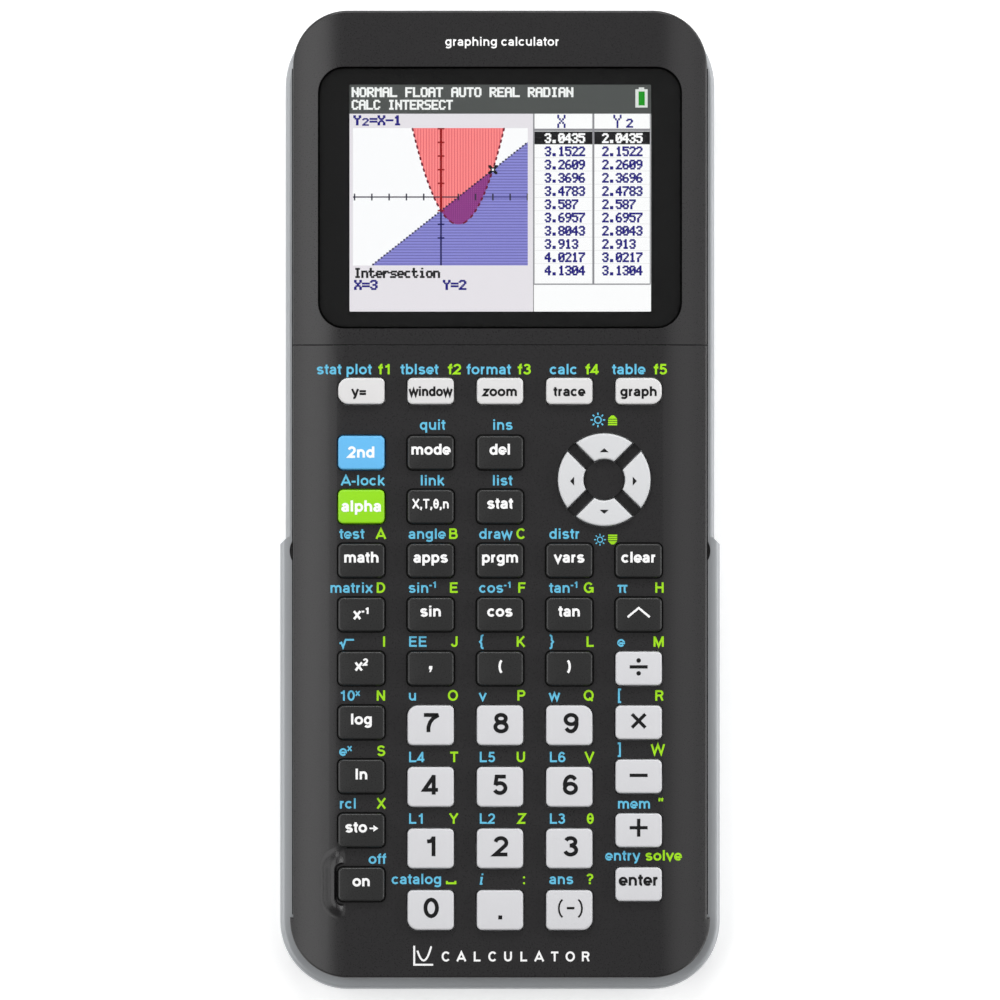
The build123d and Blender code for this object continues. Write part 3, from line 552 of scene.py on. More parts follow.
def add_stroke(maker, points, width, lift=0.0):
    """Adds a thin raised line through the points, of even width and with mitred corners, lifted by lift."""
    closed = (Vector(points[0]) - Vector(points[-1])).length < 0.001 * MM
    path = [Vector(p) for p in (points[:-1] if closed else points)]
    count = len(path)
    rows = []
    for n, point in enumerate(path):
        before = path[n - 1] if closed or n else None
        after = path[(n + 1) % count] if closed or n < count - 1 else None
        steps = (before is not None and point - before, after is not None and after - point)
        ways = [step.normalized() for step in steps if step]
        along = (ways[0] + ways[-1]).normalized()
        across = Vector((-along.y, along.x))
        square = max(abs(across.dot(Vector((-ways[0].y, ways[0].x)))), 0.35)
        offset = across * width / 2 / square
        sides = (point + offset, point - offset)
        rows.append([maker.verts.new((p.x, p.y, z)) for p in sides for z in (-INK, INK + lift)])
    pairs = list(zip(rows, rows[1:] + rows[:1])) if closed else list(zip(rows, rows[1:]))
    for (a, b, c, d), (e, f, g, h) in pairs:
        for face in ((b, d, h, f), (a, e, g, c), (a, b, f, e), (c, g, h, d)):
            maker.faces.new(face)
    if not closed:
        for a, b, c, d in (rows[0], rows[-1]):
            maker.faces.new((a, c, d, b))


def add_shape(maker, points, low=-INK, high=INK):
    """Adds a flat shape with that outline, in metres, from one height to another."""
    under, over = ([maker.verts.new((x, y, z)) for x, y in points] for z in (low, high))
    maker.faces.new(under[::-1])
    maker.faces.new(over)
    for n in range(len(points)):
        m = (n + 1) % len(points)
        maker.faces.new((under[n], under[m], over[m], over[n]))


LONG_EDGE = 1.1 * MM


def drape(maker, surface):
    """Lays a flat shape on a surface, after splitting its long edges so that it follows the curve."""
    bmesh.ops.triangulate(maker, faces=maker.faces)
    for _ in range(3):
        long_edges = [e for e in maker.edges if e.calc_length() > LONG_EDGE]
        if not long_edges:
            break
        bmesh.ops.subdivide_edges(maker, edges=long_edges, cuts=1)
        bmesh.ops.triangulate(maker, faces=[f for f in maker.faces if len(f.verts) > 3])
    for vertex in maker.verts:
        vertex.co.z += surface(vertex.co.x, vertex.co.y)


# ---- the keys: legends on the caps, and the two rows of words printed above them
DARK_LEGEND = dict(size=2.85 * MM, weight=0.155, baseline=-0.38 * MM)
SECOND_LEGEND = dict(size=2.95 * MM, weight=0.16, baseline=-0.95 * MM)
FUNCTION_LEGEND = dict(size=2.55 * MM, weight=0.16, baseline=-0.95 * MM)
NUMBER_LEGEND = dict(size=5.25 * MM, weight=0.138, baseline=-1.45 * MM, stretch=1.1)
CLOSE_LEGEND = dict(size=2.5 * MM, weight=0.13, baseline=-0.35 * MM, stretch=0.86)
NARROW_LEGEND = dict(size=2.55 * MM, weight=0.16, baseline=-0.95 * MM, stretch=0.88)
ENTER_LEGEND = dict(size=3.1 * MM, weight=0.15, baseline=-0.25 * MM)
LEGENDS = {"variable": CLOSE_LEGEND, "window": NARROW_LEGEND, "enter": ENTER_LEGEND,
           "second": SECOND_LEGEND, "alpha": SECOND_LEGEND}
# how far a legend lies from its usual place, in millimetres
LEGEND_SHIFTS = {"y_equals": (-0.45, 0), "reciprocal": (0, -0.5), "natural_log": (0, -0.2), "1": (0.2, 0),
                 "2": (0.2, 0), "3": (0.3, 0), "9": (0.4, 0), "8": (0.2, 0), "6": (0.15, 0), "0": (0.1, 0),
                 "decimal_point": (0.05, -0.3), "comma": (0.0, 0.5)}
SIGN_WEIGHT = 0.62 * MM
SIGN_REACH = 1.7 * MM
SIGN_RISES = {"divide": 0.3 * MM, "multiply": 0.3 * MM, "subtract": 0.2 * MM, "add": 0.5 * MM}

CAPS = {
    "y_equals": "y=", "window": "window", "zoom": "zoom", "trace": "trace", "graph": "graph",
    "second": "2nd", "mode": "mode", "delete": "del",
    "alpha": "alpha", "variable": "X,T,θ,n", "statistics": "stat",
    "math": "math", "apps": "apps", "program": "prgm", "vars": "vars", "clear": "clear",
    "reciprocal": "x^-1", "sine": "sin", "cosine": "cos", "tangent": "tan", "power": "",
    "square": "x^2", "comma": ",", "open_bracket": "(", "close_bracket": ")", "divide": "÷",
    "logarithm": "log", "natural_log": "ln", "store": "sto→", "on": "on",
    "multiply": "×", "subtract": "−", "add": "+", "enter": "enter",
    "0": "0", "decimal_point": ".", "negate": "(−)",
}
CAPS.update({str(n): str(n) for n in range(1, 10)})
FUNCTION_KEYS = ("y_equals", "window", "zoom", "trace", "graph")
NUMBER_KEYS = tuple("0123456789") + ("decimal_point", "negate")
SIGN_KEYS = ("divide", "multiply", "subtract", "add")

ABOVE = {
    "y_equals": ("stat plot", "f1"), "window": ("tblset", "f2"), "zoom": ("format", "f3"),
    "trace": ("calc", "f4"), "graph": ("table", "f5"), "mode": ("quit", ""), "delete": ("ins", ""),
    "alpha": ("A-lock", ""), "variable": ("link", ""), "statistics": ("list", ""),
    "math": ("test", "A"), "apps": ("angle", "B"), "program": ("draw", "C"), "vars": ("distr", ""),
    "reciprocal": ("matrix", "D"), "sine": ("sin^-1", "E"), "cosine": ("cos^-1", "F"),
    "tangent": ("tan^-1", "G"), "power": ("π", "H"), "square": ("√", "I"), "comma": ("EE", "J"),
    "open_bracket": ("{", "K"), "close_bracket": ("}", "L"), "divide": ("e", "M"),
    "logarithm": ("10^x", "N"), "7": ("u", "O"), "8": ("v", "P"), "9": ("w", "Q"), "multiply": ("[", "R"),
    "natural_log": ("e^x", "S"), "4": ("L4", "T"), "5": ("L5", "U"), "6": ("L6", "V"),
    "subtract": ("]", "W"),
    "store": ("rcl", "X"), "1": ("L1", "Y"), "2": ("L2", "Z"), "3": ("L3", "θ"), "add": ("mem", "“"),
    "on": ("off", ""), "0": ("catalog", "⎵"), "decimal_point": ("ı", ":"), "negate": ("ans", "?"),
    "enter": ("entry", "solve"),
}


def key_plan(name):
    """(centre, width, height) of a rectangular cap."""
    left, bottom, _, right, top, _ = node_box("key_" + name)
    return ((left + right) / 2, (bottom + top) / 2), right - left - 2 * FLANGE, top - bottom - 2 * FLANGE


WIDE_CORNERS = {"y_equals": (1, 2), "graph": (0, 3), "7": (1,), "9": (0,), "0": (2,), "negate": (3,)}


def key_corners(name):
    """Corner radii as (top right, top left, bottom left, bottom right)."""
    wide = WIDE_CORNERS.get(name, ())
    return [WIDE_CORNER if n in wide else KEY_CORNER for n in range(4)]


def key_paint(name):
    """(material, record slot) of a cap."""
    if name == "second":
        return PAINT["blue"], "blue_key_plastic"
    if name == "alpha":
        return PAINT["green"], "green_key_plastic"
    if name in FUNCTION_KEYS:
        return PAINT["bright"], "light_key_plastic"
    if name in NUMBER_KEYS + SIGN_KEYS + ("enter",):
        return PAINT["white"], "light_key_plastic"
    return PAINT["dark"], "dark_key_plastic"


def legend_style(name):
    """The lettering of a cap."""
    if name in LEGENDS:
        return LEGENDS[name]
    if name in FUNCTION_KEYS:
        return FUNCTION_LEGEND
    return NUMBER_LEGEND if name in NUMBER_KEYS else DARK_LEGEND


def add_sign(maker, name, centre):
    """The sign of a calculation: bars, with two round dots for division."""
    x, y = centre[0], centre[1] + SIGN_RISES[name]
    if name == "multiply":
        half = 0.75 * SIGN_REACH
        add_stroke(maker, [(x - half, y - half), (x + half, y + half)], SIGN_WEIGHT)
        add_stroke(maker, [(x - half, y + half), (x + half, y - half)], SIGN_WEIGHT, STROKE_STEP)
        return
    add_stroke(maker, [(x - SIGN_REACH, y), (x + SIGN_REACH, y)], SIGN_WEIGHT)
    if name == "add":
        add_stroke(maker, [(x, y - SIGN_REACH), (x, y + SIGN_REACH)], SIGN_WEIGHT, STROKE_STEP)
    if name == "divide":
        for way in (-1, 1):
            add_shape(maker, arc((x, y + way * 0.72 * SIGN_REACH), 0.43 * MM, 0, 360, 16)[:-1])


# the corners of the comma, in millimetres
COMMA = ((-0.32, 0.34), (0.32, 0.34), (0.32, -0.1), (0.02, -0.8), (-0.3, -0.8), (-0.06, -0.3), (-0.32, -0.3))


def make_legend(name, centre, colour):
    """The letters or the sign on one cap."""
    style = legend_style(name)
    shift = LEGEND_SHIFTS.get(name, (0, 0))
    x, y = centre[0] + shift[0] * MM, centre[1] + shift[1] * MM + style["baseline"]
    maker = bmesh.new()
    if name in SIGN_KEYS:
        add_sign(maker, name, centre)
    elif name == "power":
        tip, foot, half = (x, centre[1] + 1.25 * MM), centre[1] - 0.5 * MM, 2.1 * MM
        add_stroke(maker, [(x - half, foot), tip, (x + half, foot)], 0.4 * MM)
    elif name == "comma":
        add_shape(maker, [(x + px * MM, y + py * MM) for px, py in COMMA])
    elif name == "store":
        add_words(maker, "sto", x - 1.0 * MM, y, style["size"], weight=style["weight"])
        shaft = y + 0.75 * MM
        add_stroke(maker, [(x + 1.55 * MM, shaft), (x + 2.5 * MM, shaft)], 0.3 * MM)
        barb, half = x + 2.3 * MM, 0.62 * MM
        add_shape(maker, [(barb, shaft - half), (x + 3.2 * MM, shaft), (barb, shaft + half)])
    elif name == "negate":
        for bracket, side in (("(", -1.86), (")", 2.27)):
            add_words(maker, bracket, x + side * MM, y + 0.68 * MM, 4.17 * MM, weight=0.08, stretch=1.3)
        add_stroke(maker, [(x - 0.47 * MM, y + 1.82 * MM), (x + 0.97 * MM, y + 1.82 * MM)], 0.46 * MM)
    else:
        stretch = style.get("stretch", 1.0)
        add_words(maker, CAPS[name], x, y, style["size"], weight=style["weight"], stretch=stretch)
    drape(maker, cap_top(centre))
    return piece("legend_" + name, maker, colour, "key_" + name, smooth=30)


def make_key(name):
    """One cap with its legend."""
    centre, width, height = key_plan(name)
    corners = key_corners(name)
    material, slot = key_paint(name)
    maker = key_cap(lambda inset: rounded_outline(centre, width, height, corners, inset), centre)
    piece("cap_" + name, maker, material, "key_" + name, slot, ["key_" + name])
    dark_ink = slot == "light_key_plastic"
    make_legend(name, centre, PAINT["black_ink"] if dark_ink else PAINT["white_ink"])


ARROW_REACH = {"arrow_right": 5.8 * MM, "arrow_up": 5.6 * MM, "arrow_left": 6.1 * MM,
               "arrow_down": 6.1 * MM}
ARROW_SHIFT = Vector((0, -0.27 * MM))


def make_arrow(name, turn):
    """One quarter of the arrow pad with its small triangle."""
    reach = (PAD_OUTER + PAD_INNER) / 2
    ahead = Vector((math.cos(math.radians(turn)), math.sin(math.radians(turn))))
    centre = tuple(Vector(PAD_CENTRE) + ahead * reach)
    maker = key_cap(lambda inset: petal_outline(turn, inset), centre)
    piece("cap_" + name, maker, PAINT["arrow"], "key_" + name, "arrow_key_plastic", ["key_" + name])
    across = Vector((-ahead.y, ahead.x)) * 0.84 * MM
    marked = Vector(PAD_CENTRE) + ahead * ARROW_REACH[name] + ARROW_SHIFT * abs(ahead.x)
    base, tip = marked - ahead * 0.38 * MM, marked + ahead * 0.38 * MM
    maker = bmesh.new()
    add_shape(maker, [tuple(base - across), tuple(tip), tuple(base + across)])
    drape(maker, cap_top(centre))
    piece("legend_" + name, maker, PAINT["black_ink"], "key_" + name, smooth=30)


# ---- the words printed on the covers
LABEL_SIZE = 2.75 * MM
LABEL_WEIGHT = 0.128
# words centred above a key, by how far right of its middle they are, in millimetres
CENTRED_ABOVE = {"mode": 0.35, "delete": 0.5, "alpha": 0.3, "variable": 0.3, "statistics": 0.45}
# how far past the key's left side blue words start, and past its right side green letters end, in
# millimetres: first for each column of keys, then for keys that differ
SECOND_LEFT = (0.15, 0.1, 0.35, 0.5, 0.3)
LETTER_RIGHT = (0.3, 0.9, 0.55, 0.35, 0.55)
SET_OUT = {"y_equals": (-4.2, 1.45), "window": (-1.4, 1.5), "zoom": (-2.0, 1.6), "trace": (0.6, 1.3),
           "graph": (-0.7, 1.1), "reciprocal": (-1.65, 0.3), "0": (-3.1, 0.45), "enter": (-2.0, 3.85)}
RAISED_ROW, LOWERED_ROW = ("mode", "delete"), ("alpha", "variable", "statistics")
BOTTOM_ROW = ("0", "decimal_point", "negate")


def label_rise(name):
    """How far above its key the baseline of a key's words lies."""
    if name in FUNCTION_KEYS + ("on", "natural_log"):
        return 0.68 * MM
    if name in RAISED_ROW + BOTTOM_ROW:
        return 1.14 * MM
    if name == "enter":
        return 1.3 * MM
    return 0.82 * MM if name in LOWERED_ROW else 0.92 * MM


def make_labels():
    """The blue and green words above the keys, one piece for each colour."""
    blue, green = bmesh.new(), bmesh.new()
    for name, (second, letter) in ABOVE.items():
        centre, width, height = key_plan(name)
        y = centre[1] + height / 2 + label_rise(name)
        left, right = centre[0] - width / 2, centre[0] + width / 2
        if name in CENTRED_ABOVE:
            middle = centre[0] + CENTRED_ABOVE[name] * MM
            add_words(blue, second, middle, y, LABEL_SIZE, weight=LABEL_WEIGHT)
            continue
        if name == "on":
            add_words(blue, second, right + 0.38 * MM, y, LABEL_SIZE, "RIGHT", LABEL_WEIGHT)
            continue
        column = round(centre[0] / KEY_PITCH) + 2
        out = SET_OUT.get(name, (SECOND_LEFT[column], LETTER_RIGHT[column]))
        add_words(blue, second, left + out[0] * MM, y, LABEL_SIZE, "LEFT", LABEL_WEIGHT)
        wide = 1.1 if name in FUNCTION_KEYS else 1.0
        add_words(green, letter, right + out[1] * MM, y, LABEL_SIZE, "RIGHT", LABEL_WEIGHT * 1.08, wide)
    x, y = PAD_CENTRE
    add_sun(blue, (x - 1.2 * MM, y + 11.35 * MM), 1.0)
    add_sun(blue, (x - 0.8 * MM, y - 11.4 * MM), 0.8)
    add_page(green, (x + 1.6 * MM, y + 11.25 * MM), 1)
    add_page(green, (x + 1.6 * MM, y - 11.35 * MM), -1)
    for maker, colour in ((blue, "blue"), (green, "green")):
        drape(maker, face_height)
        piece(colour + "_words", maker, PAINT[colour + "_ink"], CASE, smooth=30)


def add_sun(maker, centre, scale):
    """A brightness mark: a ring with eight rays."""
    radius, width = 0.62 * MM * scale, 0.26 * MM * scale
    ring = arc(centre, radius, 0, 360, 20)
    for n in range(20):
        add_stroke(maker, [ring[n], ring[n + 1]], width)
    for n in range(8):
        turn = math.radians(45 * n)
        way = (math.cos(turn), math.sin(turn))
        ends = [(centre[0] + way[0] * r * scale * MM, centre[1] + way[1] * r * scale * MM)
                for r in (0.95, 1.4)]
        add_stroke(maker, ends, width)


def add_page(maker, centre, way):
    """A page mark: a triangle over three bars, pointing up or down."""
    x, y = centre
    half = 0.86 * MM
    shoulder, tip = y + way * 0.32 * MM, y + way * 0.95 * MM
    roof = ((-half, shoulder), (-0.25 * MM, tip), (0.25 * MM, tip), (half, shoulder))
    add_shape(maker, [(x + px, py) for px, py in roof])
    for n in range(3):
        low = y + way * (-0.92 + 0.4 * n) * MM
        high = low + way * 0.29 * MM
        add_shape(maker, [(x - half, low), (x - half, high), (x + half, high), (x + half, low)])


def make_titles():
    """A plain title above the display, and a small axes-and-curve mark with a word below the keys."""
    maker = bmesh.new()
    add_words(maker, "graphing calculator", 0.4 * MM, BEZEL[4] - 6.7 * MM, 2.35 * MM, weight=0.12)
    x, y = -14.5 * MM, COVER[1] + 4.3 * MM
    reach, line_width = 1.8 * MM, 0.36 * MM
    add_stroke(maker, [(x - reach, y + reach), (x - reach, y - reach), (x + reach, y - reach)], line_width)
    curve = [(x + t * 0.24 * MM, y + (0.075 * t * t - 1.0) * MM) for t in range(-5, 7)]
    add_stroke(maker, curve, line_width, STROKE_STEP)
    word, size = "CALCULATOR", 2.55 * MM
    first, last = -10.3 * MM, 16.3 * MM
    for n, letter in enumerate(word):
        middle = first + (last - first) * n / (len(word) - 1)
        add_words(maker, letter, middle, y - 1.15 * MM, size, weight=0.14)
    drape(maker, face_height)
    piece("titles", maker, PAINT["white_ink"], CASE, smooth=30)


# ---- the display, drawn in its own dots from its top left corner
DOTS_ACROSS, DOTS_DOWN = 320, 240
DISPLAY_WIDTH = 57.3 * MM
DOT = DISPLAY_WIDTH / DOTS_ACROSS
DISPLAY_LEFT = 0.05 * MM - DISPLAY_WIDTH / 2
DISPLAY_TOP = (LENS[1] + LENS[4]) / 2 - 0.15 * MM + DOTS_DOWN * DOT / 2
DISPLAY_Z = PANEL[5]
LAYER = 0.004 * MM
BAR_RISE = 0.9
GLOW = 1.07
# how tall a run of dots and a lone dot of a letter are drawn, in dots of the letter
RUN_HEIGHT, LONE_DOT_HEIGHT = 1.45, 1.15

GLYPHS = {
    "A": ".###. #...# #...# ##### #...# #...# #...#", "B": "####. #...# #...# ####. #...# #...# ####.",
    "C": ".###. #...# #.... #.... #.... #...# .###.", "D": "####. #...# #...# #...# #...# #...# ####.",
    "E": "##### #.... #.... ####. #.... #.... #####", "F": "##### #.... #.... ####. #.... #.... #....",
    "I": ".###. ..#.. ..#.. ..#.. ..#.. ..#.. .###.", "L": "#.... #.... #.... #.... #.... #.... #####",
    "M": "#...# ##.## #.#.# #...# #...# #...# #...#", "N": "#...# #...# ##..# #.#.# #..## #...# #...#",
    "O": ".###. #...# #...# #...# #...# #...# .###.", "P": "####. #...# #...# ####. #.... #.... #....",
    "R": "####. #...# #...# ####. #.#.. #..#. #...#", "S": ".#### #.... #.... .###. ....# ....# ####.",
    "T": "##### ..#.. ..#.. ..#.. ..#.. ..#.. ..#..", "U": "#...# #...# #...# #...# #...# #...# .###.",
    "X": "#...# #...# .#.#. ..#.. .#.#. #...# #...#", "Y": "#...# #...# .#.#. ..#.. ..#.. ..#.. ..#..",
    "0": ".###. #...# #..## #.#.# ##..# #...# .###.", "1": "..#.. .##.. ..#.. ..#.. ..#.. ..#.. .###.",
    "2": ".###. #...# ....# ...#. ..#.. .#... #####", "3": ".###. #...# ....# ..##. ....# #...# .###.",
    "4": "...#. ..##. .#.#. #..#. ##### ...#. ...#.", "5": "##### #.... ####. ....# ....# #...# .###.",
    "6": "..##. .#... #.... ####. #...# #...# .###.", "7": "##### ....# ...#. ..#.. .#... .#... .#...",
    "8": ".###. #...# #...# .###. #...# #...# .###.", "9": ".###. #...# #...# .#### ....# ...#. .##..",
    "c": "..... ..... .###. #.... #.... #.... .###.", "e": "..... ..... .###. #...# ##### #.... .###.",
    "i": "..#.. ..... .##.. ..#.. ..#.. ..#.. .###.", "n": "..... ..... ####. #...# #...# #...# #...#",
    "o": "..... ..... .###. #...# #...# #...# .###.", "r": "..... ..... #.##. ##..# #.... #.... #....",
    "s": "..... ..... .#### #.... .###. ....# ####.", "t": ".#... .#... ####. .#... .#... .#..# ..##.",
    ".": "..... ..... ..... ..... ..... .##.. .##..", "=": "..... ..... ##### ..... ##### ..... .....",
    "-": "..... ..... ..... ##### ..... ..... .....",
}


class Layer:
    """One colour of the picture, drawn as rectangles that lie a hair above the layer before."""

    drawn = 0

    def __init__(self, name, colour):
        self.name, self.colour, self.boxes = name, colour, []

    def box(self, left, top, right, bottom):
        """A rectangle, in dots from the display's top left corner."""
        self.boxes.append((left, top, right, bottom))

    def words(self, text, left, top, across=1.4, down=1.45, bold=0.95):
        """Words in five by seven dot letters, each dot across by down dots of the display.

        bold is how much longer than its dots each run of dots is drawn, in dots of the letter.
        """
        for n, letter in enumerate(text):
            for row, bits in enumerate(GLYPHS.get(letter, "").split()):
                start = None
                for column, bit in enumerate(bits + "."):
                    if bit == "#" and start is None:
                        start = column
                    elif bit != "#" and start is not None:
                        x = left + (n * 6 + start) * across
                        y = top + row * down
                        tall = RUN_HEIGHT if column - start > 1 or row == 6 else LONE_DOT_HEIGHT
                        self.box(x, y, x + (column - start + bold) * across, y + tall * down)
                        start = None

    def finish(self):
        """Makes the layer's piece."""
        Layer.drawn += 1
        low = DISPLAY_Z + (Layer.drawn - 1) * LAYER
        maker = bmesh.new()
        for left, top, right, bottom in self.boxes:
            x0, x1 = DISPLAY_LEFT + left * DOT, DISPLAY_LEFT + right * DOT
            y0, y1 = DISPLAY_TOP - bottom * DOT, DISPLAY_TOP - top * DOT
            add_shape(maker, ((x0, y0), (x1, y0), (x1, y1), (x0, y1)), DISPLAY_Z - LAYER, low + LAYER)
        material = lit("lit_" + self.name, self.colour, GLOW)
        piece("display_" + self.name, maker, material, CASE, "display_panel", smooth=20)


# the graph's edges, origin and units, in dots
GRAPH = dict(left=3.7, right=189.2, top=45.2, bottom=191.0, x0=97.1, y0=118.4, dx=18.35, dy=14.5)


def graph_x(value):
    return GRAPH["x0"] + value * GRAPH["dx"]


def graph_y(value):
    return GRAPH["y0"] - value * GRAPH["dy"]


def value_x(dots):
    return (dots - GRAPH["x0"]) / GRAPH["dx"]


def value_y(dots):
    return (GRAPH["y0"] - dots) / GRAPH["dy"]


def parabola(x):
    return (x - 1) ** 2 - 2


def line(x):
    return x - 1


def draw_graph():
    """The shaded areas under a line and inside a parabola, the axes and the curves."""
    g = GRAPH
    paper = Layer("paper", (254, 254, 255))
    paper.box(g["left"], g["top"], g["right"], g["bottom"])
    paper.finish()
    blue, blue_bars = Layer("blue", (140, 138, 214)), Layer("blue_bars", (104, 103, 172))
    red, red_bars = Layer("red", (255, 138, 138)), Layer("red_bars", (233, 104, 108))
    purple, purple_bars = Layer("purple", (160, 72, 148)), Layer("purple_bars", (124, 40, 118))
    for row in range(int(g["top"]), int(g["bottom"])):
        start = graph_x(value_y(row + 0.5) + 1)
        if start < g["right"]:
            layer = blue_bars if row % 3 == 0 else blue
            layer.box(max(start, g["left"]), row, g["right"], min(row + 1, g["bottom"]))
    reach = math.sqrt(2 + value_y(g["top"]))
    first, last = int(graph_x(1 - reach)), int(graph_x(1 + reach))
    for column in range(first, last + 1):
        x = value_x(column + 0.5)
        foot = graph_y(max(parabola(x), line(x) if 0 < x < 3 else parabola(x)))
        if foot > g["top"]:
            layer = red_bars if column % 3 == 0 else red
            layer.box(column, g["top"], column + 1, foot)
        if 0 < x < 3:
            layer = purple_bars if column % 2 == 0 else purple
            layer.box(column, graph_y(line(x)), column + 1, graph_y(parabola(x)))
    purple_rows = Layer("purple_rows", (132, 46, 126))
    for row in range(int(graph_y(2)), int(graph_y(-2)), 2):
        level = value_y(row + 0.4)
        reach = math.sqrt(max(2 + level, 0.0))
        start, stop = graph_x(max(1 - reach, level + 1)), graph_x(min(1 + reach, 3))
        if start < stop:
            purple_rows.box(start, row, stop, row + 0.8)
    for layer in (blue, blue_bars, red, red_bars, purple, purple_bars, purple_rows):
        layer.finish()
    axes, shaded_axis = Layer("axes", (46, 44, 60)), Layer("shaded_axis", (84, 80, 150))
    axes.box(g["left"], g["y0"] - 0.7, graph_x(1), g["y0"] + 0.7)
    shaded_axis.box(graph_x(1 + math.sqrt(2)), g["y0"] - 0.7, g["right"], g["y0"] + 0.7)
    shaded_axis.finish()
    for n in range(-5, 6):
        x = graph_x(n)
        axes.box(max(x - 0.8, g["left"]), g["y0"] - 3.6, min(x + 0.8, g["right"]), g["y0"] + 3.6)
    axes.finish()
    upright, navy = Layer("red_axis", (150, 4, 8)), Layer("navy_axis", (14, 10, 84))
    upright.box(g["x0"] - 1.3, g["top"], g["x0"] + 1.3, graph_y(-1))
    navy.box(g["x0"] - 0.9, graph_y(-1), g["x0"] + 0.9, g["bottom"])
    for n in range(-3, 6):
        mark = navy if n < -1 else upright
        if n:
            mark.box(g["x0"] - 3.6, graph_y(n) - 0.8, g["x0"] + 3.6, graph_y(n) + 0.8)
    upright.finish()
    navy.finish()
    draw_curves()


def draw_curves():
    """The dotted line, the dashed parabola and the cross at their meeting point."""
    g = GRAPH
    dots, dashes = Layer("dots", (8, 6, 40)), Layer("dashes", (110, 6, 40))
    for column in range(int(g["left"]), int(g["right"]), 3):
        y = graph_y(line(value_x(column + 1)))
        if g["top"] + 1 < y < g["bottom"] - 1:
            dots.box(column, y - 0.9, column + 1.9, y + 0.9)
    steps = 150
    for n in range(steps):
        y = value_y(g["top"]) - (value_y(g["top"]) + 2) * (n + 1) / steps
        if n % 9 < 4:
            for way in (-1, 1):
                x = graph_x(1 + way * math.sqrt(y + 2))
                dashes.box(x - 0.9, graph_y(y) - 0.8, x + 0.9, graph_y(y) + 0.8)
    dots.finish()
    dashes.finish()
    cross, centre = Layer("cross", (6, 6, 8)), Layer("cross_centre", (255, 255, 255))
    x, y = graph_x(3), graph_y(2)
    for n in range(-3, 4):
        cross.box(x + n * 1.15 - 1.4, y + n * 1.15 - 1.4, x + n * 1.15 + 1.4, y + n * 1.15 + 1.4)
        cross.box(x + n * 1.15 - 1.4, y - n * 1.15 - 1.4, x + n * 1.15 + 1.4, y - n * 1.15 + 1.4)
    centre.box(x - 1.1, y - 1.1, x + 1.1, y + 1.1)
    cross.finish()
    centre.finish()


def draw_table(navy, black):
    """The list of values beside the graph. Each row is one step of x, with y one less."""
    left, right, rule = 195.6, 319.2, 258.8
    first, pitch, rows = 55.6, 14.05, 11
    white, faint = Layer("table_paper", (255, 255, 255)), Layer("row_lines", (232, 232, 232))
    grey = Layer("rules", (142, 142, 146))
    white.box(left, 30, DOTS_ACROSS, DOTS_DOWN)
    for x, half in ((left, 0.8), (rule, 1.1), (right, 0.5)):
        grey.box(x - half, 30, x + half, 211)
    grey.box(left, 45.8, right, 48.4)
    grey.box(left, 210.2, right, 211.6)
    for n in range(1, rows):
        faint.box(left, first + n * pitch - 7.3, right, first + n * pitch - 6.7)
    white.finish()
    faint.finish()
    grey.finish()
    black.box(left + 0.8, first - 6.8, rule - 1.1, first + 6.8)
    black.box(rule + 1.1, first - 6.8, right - 0.5, first + 6.8)
    navy.words("X", 220.5, 31.0, 1.7, 1.9, 0.2)
    navy.words("Y", 280.0, 31.0, 1.7, 1.9, 0.2)
    navy.words("2", 293.5, 35.2, 1.25, 1.3)
    chosen = Layer("chosen_row", (255, 255, 255))
    for n in range(rows):
        value = 3.043478 + n / 9.2
        top = first + n * pitch - 5
        layer = navy if n else chosen
        for shown, start in ((value, 207), (value - 1, 268)):
            layer.words(f"{shown:.4f}".rstrip("0"), start, top, 1.2, 1.42)
    return chosen


def make_display():
    """The lit picture: status bar, graph with its captions, table of values."""
    panel = Layer("panel", (232, 228, 233))
    panel.box(0, 29.5, 195, DOTS_DOWN)
    panel.finish()
    bar = Layer("bar", (77, 80, 78))
    bar.box(0, -BAR_RISE, DOTS_ACROSS, 30)
    bar.finish()
    draw_graph()
    navy, black = Layer("navy_words", (14, 2, 122)), Layer("black_words", (2, 2, 4))
    chosen = draw_table(navy, black)
    navy.words("Y", 4, 31.6, 1.42, 1.45)
    navy.words("2", 13.4, 34.6, 1.2, 1.1)
    navy.words("=X-1", 21.2, 31.6, 1.42, 1.45)
    navy.words("X=3", 4.8, 206.3)
    navy.words("Y=2", 99, 206.3)
    black.words("Intersection", 4.8, 193.6, 1.27, 1.45)
    navy.finish()
    black.finish()
    chosen.finish()
    status = Layer("status_words", (246, 248, 246))
    status.words("NORMAL FLOAT AUTO REAL RADIAN", 2.2, 1.8, 1.355, 1.42, 0.75)
    status.words("CALC INTERSECT", 2.2, 15.2, 1.285, 1.42, 0.75)
    status.finish()
    cell, charge = Layer("cell", (222, 226, 222)), Layer("charge", (12, 148, 16))
    cell.box(303.4, 4.0, 316.4, 23.4)
    cell.box(307, 2.0, 312.8, 4.2)
    charge.box(306.8, 6.4, 313.4, 21.2)
    cell.finish()
    charge.finish()


def add_frame(maker, outer, inner, low, high):
    """Adds a flat frame between two outlines with equally many points."""
    levels = ((outer, low), (outer, high), (inner, high), (inner, low))
    rings = [[maker.verts.new((x, y, z)) for x, y in ring] for ring, z in levels]
    for near, far in zip(rings, rings[1:] + rings[:1]):
        for n in range(len(outer)):
            m = (n + 1) % len(outer)
            maker.faces.new((near[n], near[m], far[m], far[n]))


# the outer and inner edge of the painted shade ring round the lens, as insets from the lens's
EDGE_SHADE_INSETS = (-0.08 * MM, 0.28 * MM)


